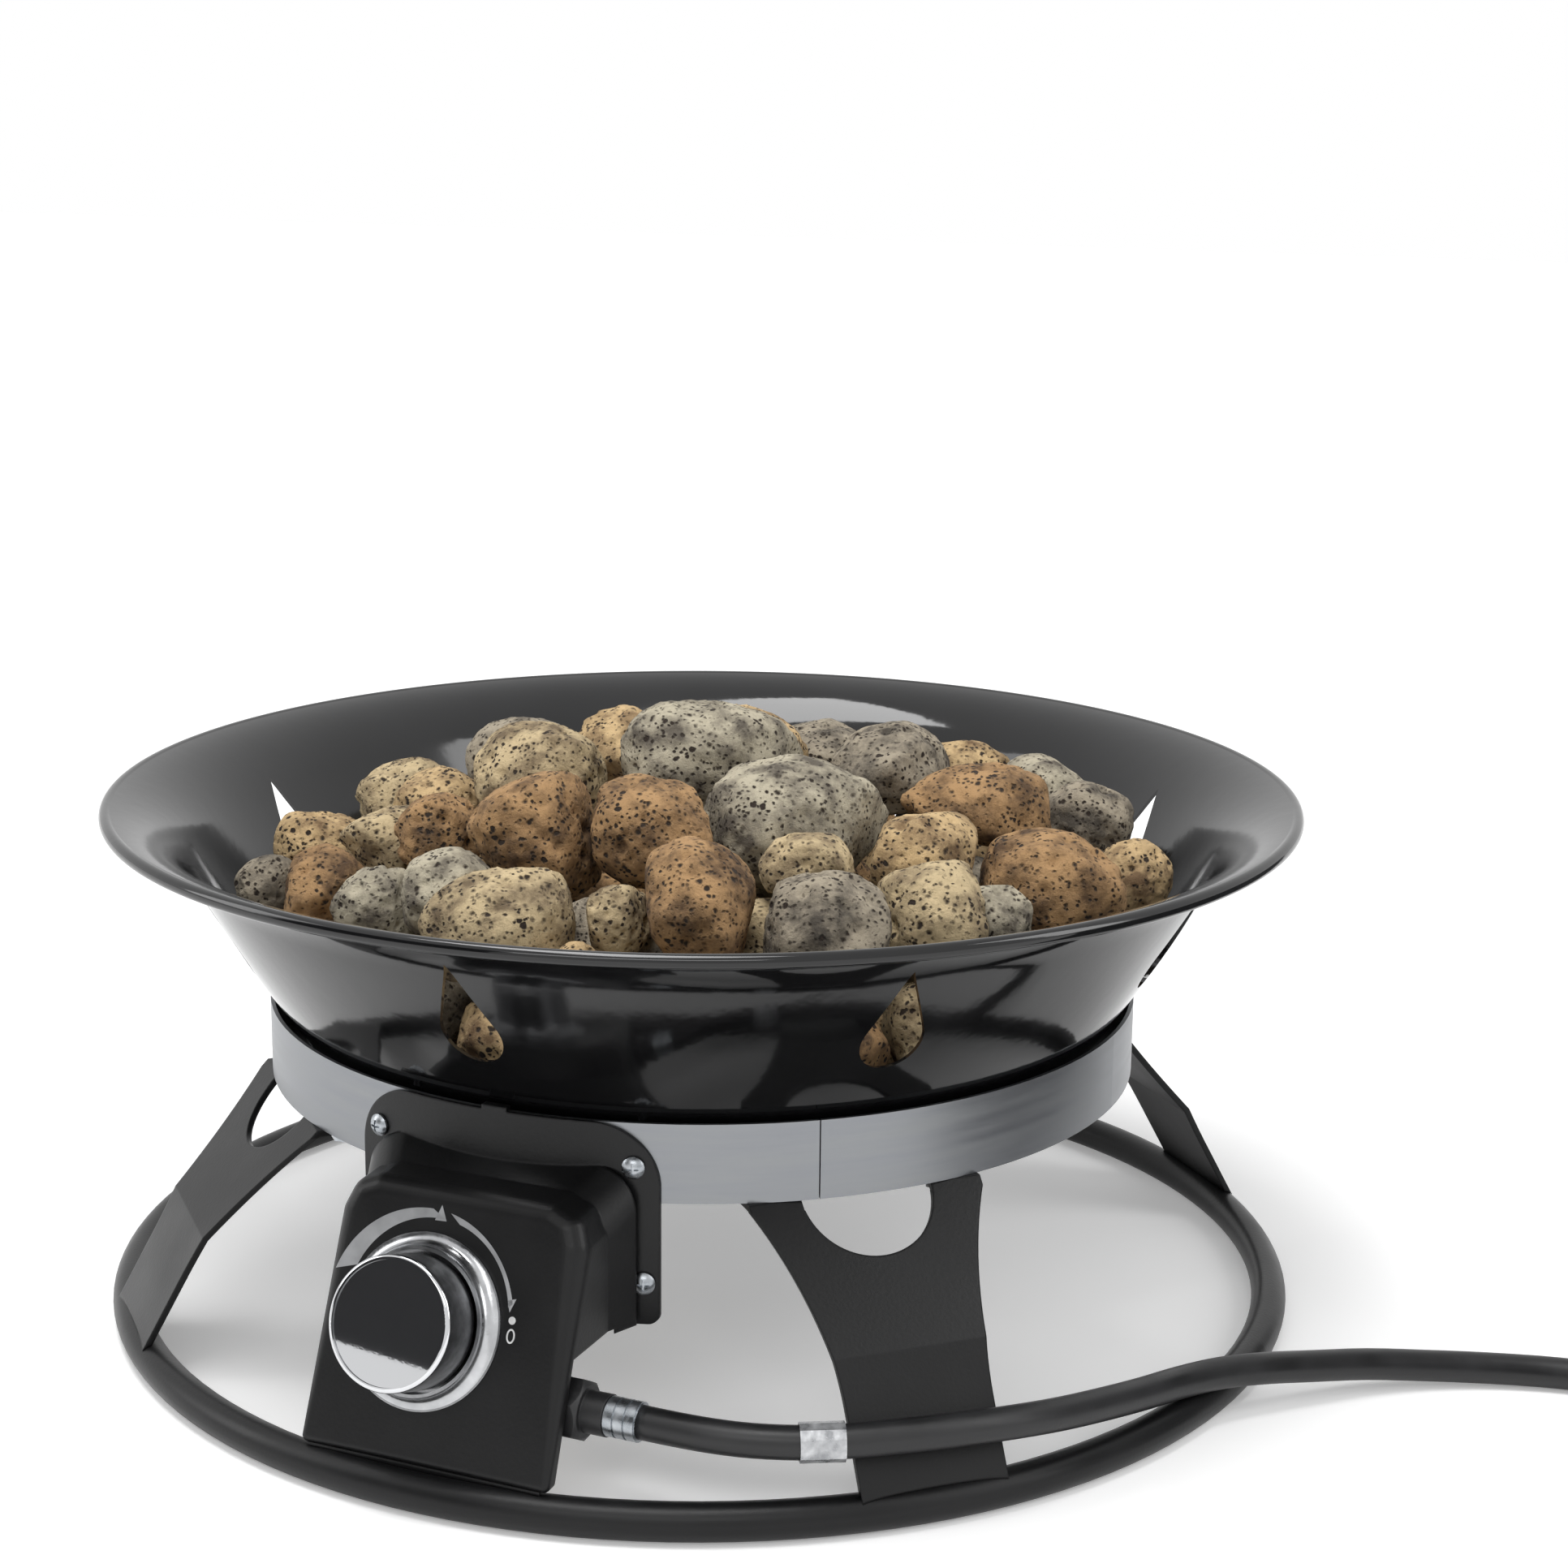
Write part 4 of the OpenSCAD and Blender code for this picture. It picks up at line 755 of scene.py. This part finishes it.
def white_floor():
    # Matt white paper: to the camera it glows a little, more with the distance, so that
    # it runs into the white world and keeps the shadow near the object
    material, tree, shader, place = surface("matt_white_floor")
    shader.inputs["Base Color"].default_value = linear("#f4f4f4")
    shader.inputs["Roughness"].default_value = 0.9
    shader.inputs["Emission Color"].default_value = (1, 1, 1, 1)
    far = add_node(tree, "ShaderNodeVectorMath", {0: place}, operation="LENGTH")
    glow = add_node(tree, "ShaderNodeMapRange", {
        "Value": far.outputs["Value"], "From Min": 0.4, "From Max": 3.0,
        "To Min": 0.27, "To Max": 0.9})
    lift = add_node(tree, "ShaderNodeMath", {
        0: glow.outputs["Result"], 1: seen_directly(tree)}, operation="MULTIPLY")
    tree.links.new(lift.outputs[0], shader.inputs["Emission Strength"])
    return material


def stage_card(name, corners, material):
    """A flat sheet of the studio."""
    mesh = bpy.data.meshes.new(name)
    mesh.from_pydata(corners, [], [(0, 1, 2, 3)])
    mesh.materials.append(material)
    card = bpy.data.objects.new(name, mesh)
    bpy.context.collection.objects.link(card)
    return card


def felt_flag(name, tone, left, right, low, high):
    # Felt held out of the picture: only what is mirrored in the object shows it
    material, _, shader, _ = surface(name + "_felt")
    shader.inputs["Base Color"].default_value = linear(tone)
    shader.inputs["Roughness"].default_value = 1.0
    shader.inputs["Specular IOR Level"].default_value = 0.0
    card = stage_card(name, [
        (*left, low), (*right, low), (*right, high), (*left, high)], material)
    card.visible_camera = False
    card.visible_diffuse = False
    card.visible_shadow = False


def soft_box(name, place, aim, size, power):
    data = bpy.data.lights.new(name, "AREA")
    data.shape = "RECTANGLE"
    data.size, data.size_y = size
    data.energy = power
    lamp = bpy.data.objects.new(name, data)
    bpy.context.collection.objects.link(lamp)
    lamp.location = place
    lamp.rotation_euler = (Vector(aim) - Vector(place)).to_track_quat("-Z", "Y").to_euler()


FLOOR = 8
stage_card("floor", [(-FLOOR, -FLOOR, 0), (FLOOR, -FLOOR, 0), (FLOOR, FLOOR, 0),
                     (-FLOOR, FLOOR, 0)], white_floor())
# The knob's face mirrors the first flag, the band's right part the second. The four
# lamps light the pile from above, shape both sides and give the ring its front shine
felt_flag("knob_flag", "#3a3a3b", (-0.95, -0.80), (-0.20, -1.25), 0.238, 0.95)
felt_flag("band_flag", "#6a6b6d", (0.37, -0.12), (0.37, 0.35), 0.005, 0.22)
soft_box("top_light", (-0.2, -0.3, 1.9), (0, 0, 0.1), (1.2, 0.8), 27)
soft_box("left_light", (-1.7, -0.7, 1.0), (0, 0, 0.12), (0.7, 1.1), 7)
soft_box("right_light", (1.5, 0.1, 1.0), (0, 0, 0.12), (0.5, 1.2), 8)
soft_box("front_light", (0.35, -1.6, 1.3), (0, -0.25, 0.0), (1.4, 0.3), 5)

world = bpy.data.worlds.new("studio")
world.use_nodes = True
sky = add_node(world.node_tree, "ShaderNodeMapRange", {
    "Value": seen_directly(world.node_tree), "To Min": 0.4, "To Max": 1.0})
background = world.node_tree.nodes["Background"]
background.inputs["Color"].default_value = (1, 1, 1, 1)
world.node_tree.links.new(sky.outputs["Result"], background.inputs["Strength"])
bpy.context.scene.world = world
bpy.context.scene.view_settings.view_transform = "Standard"

bpy.context.view_layer.update()
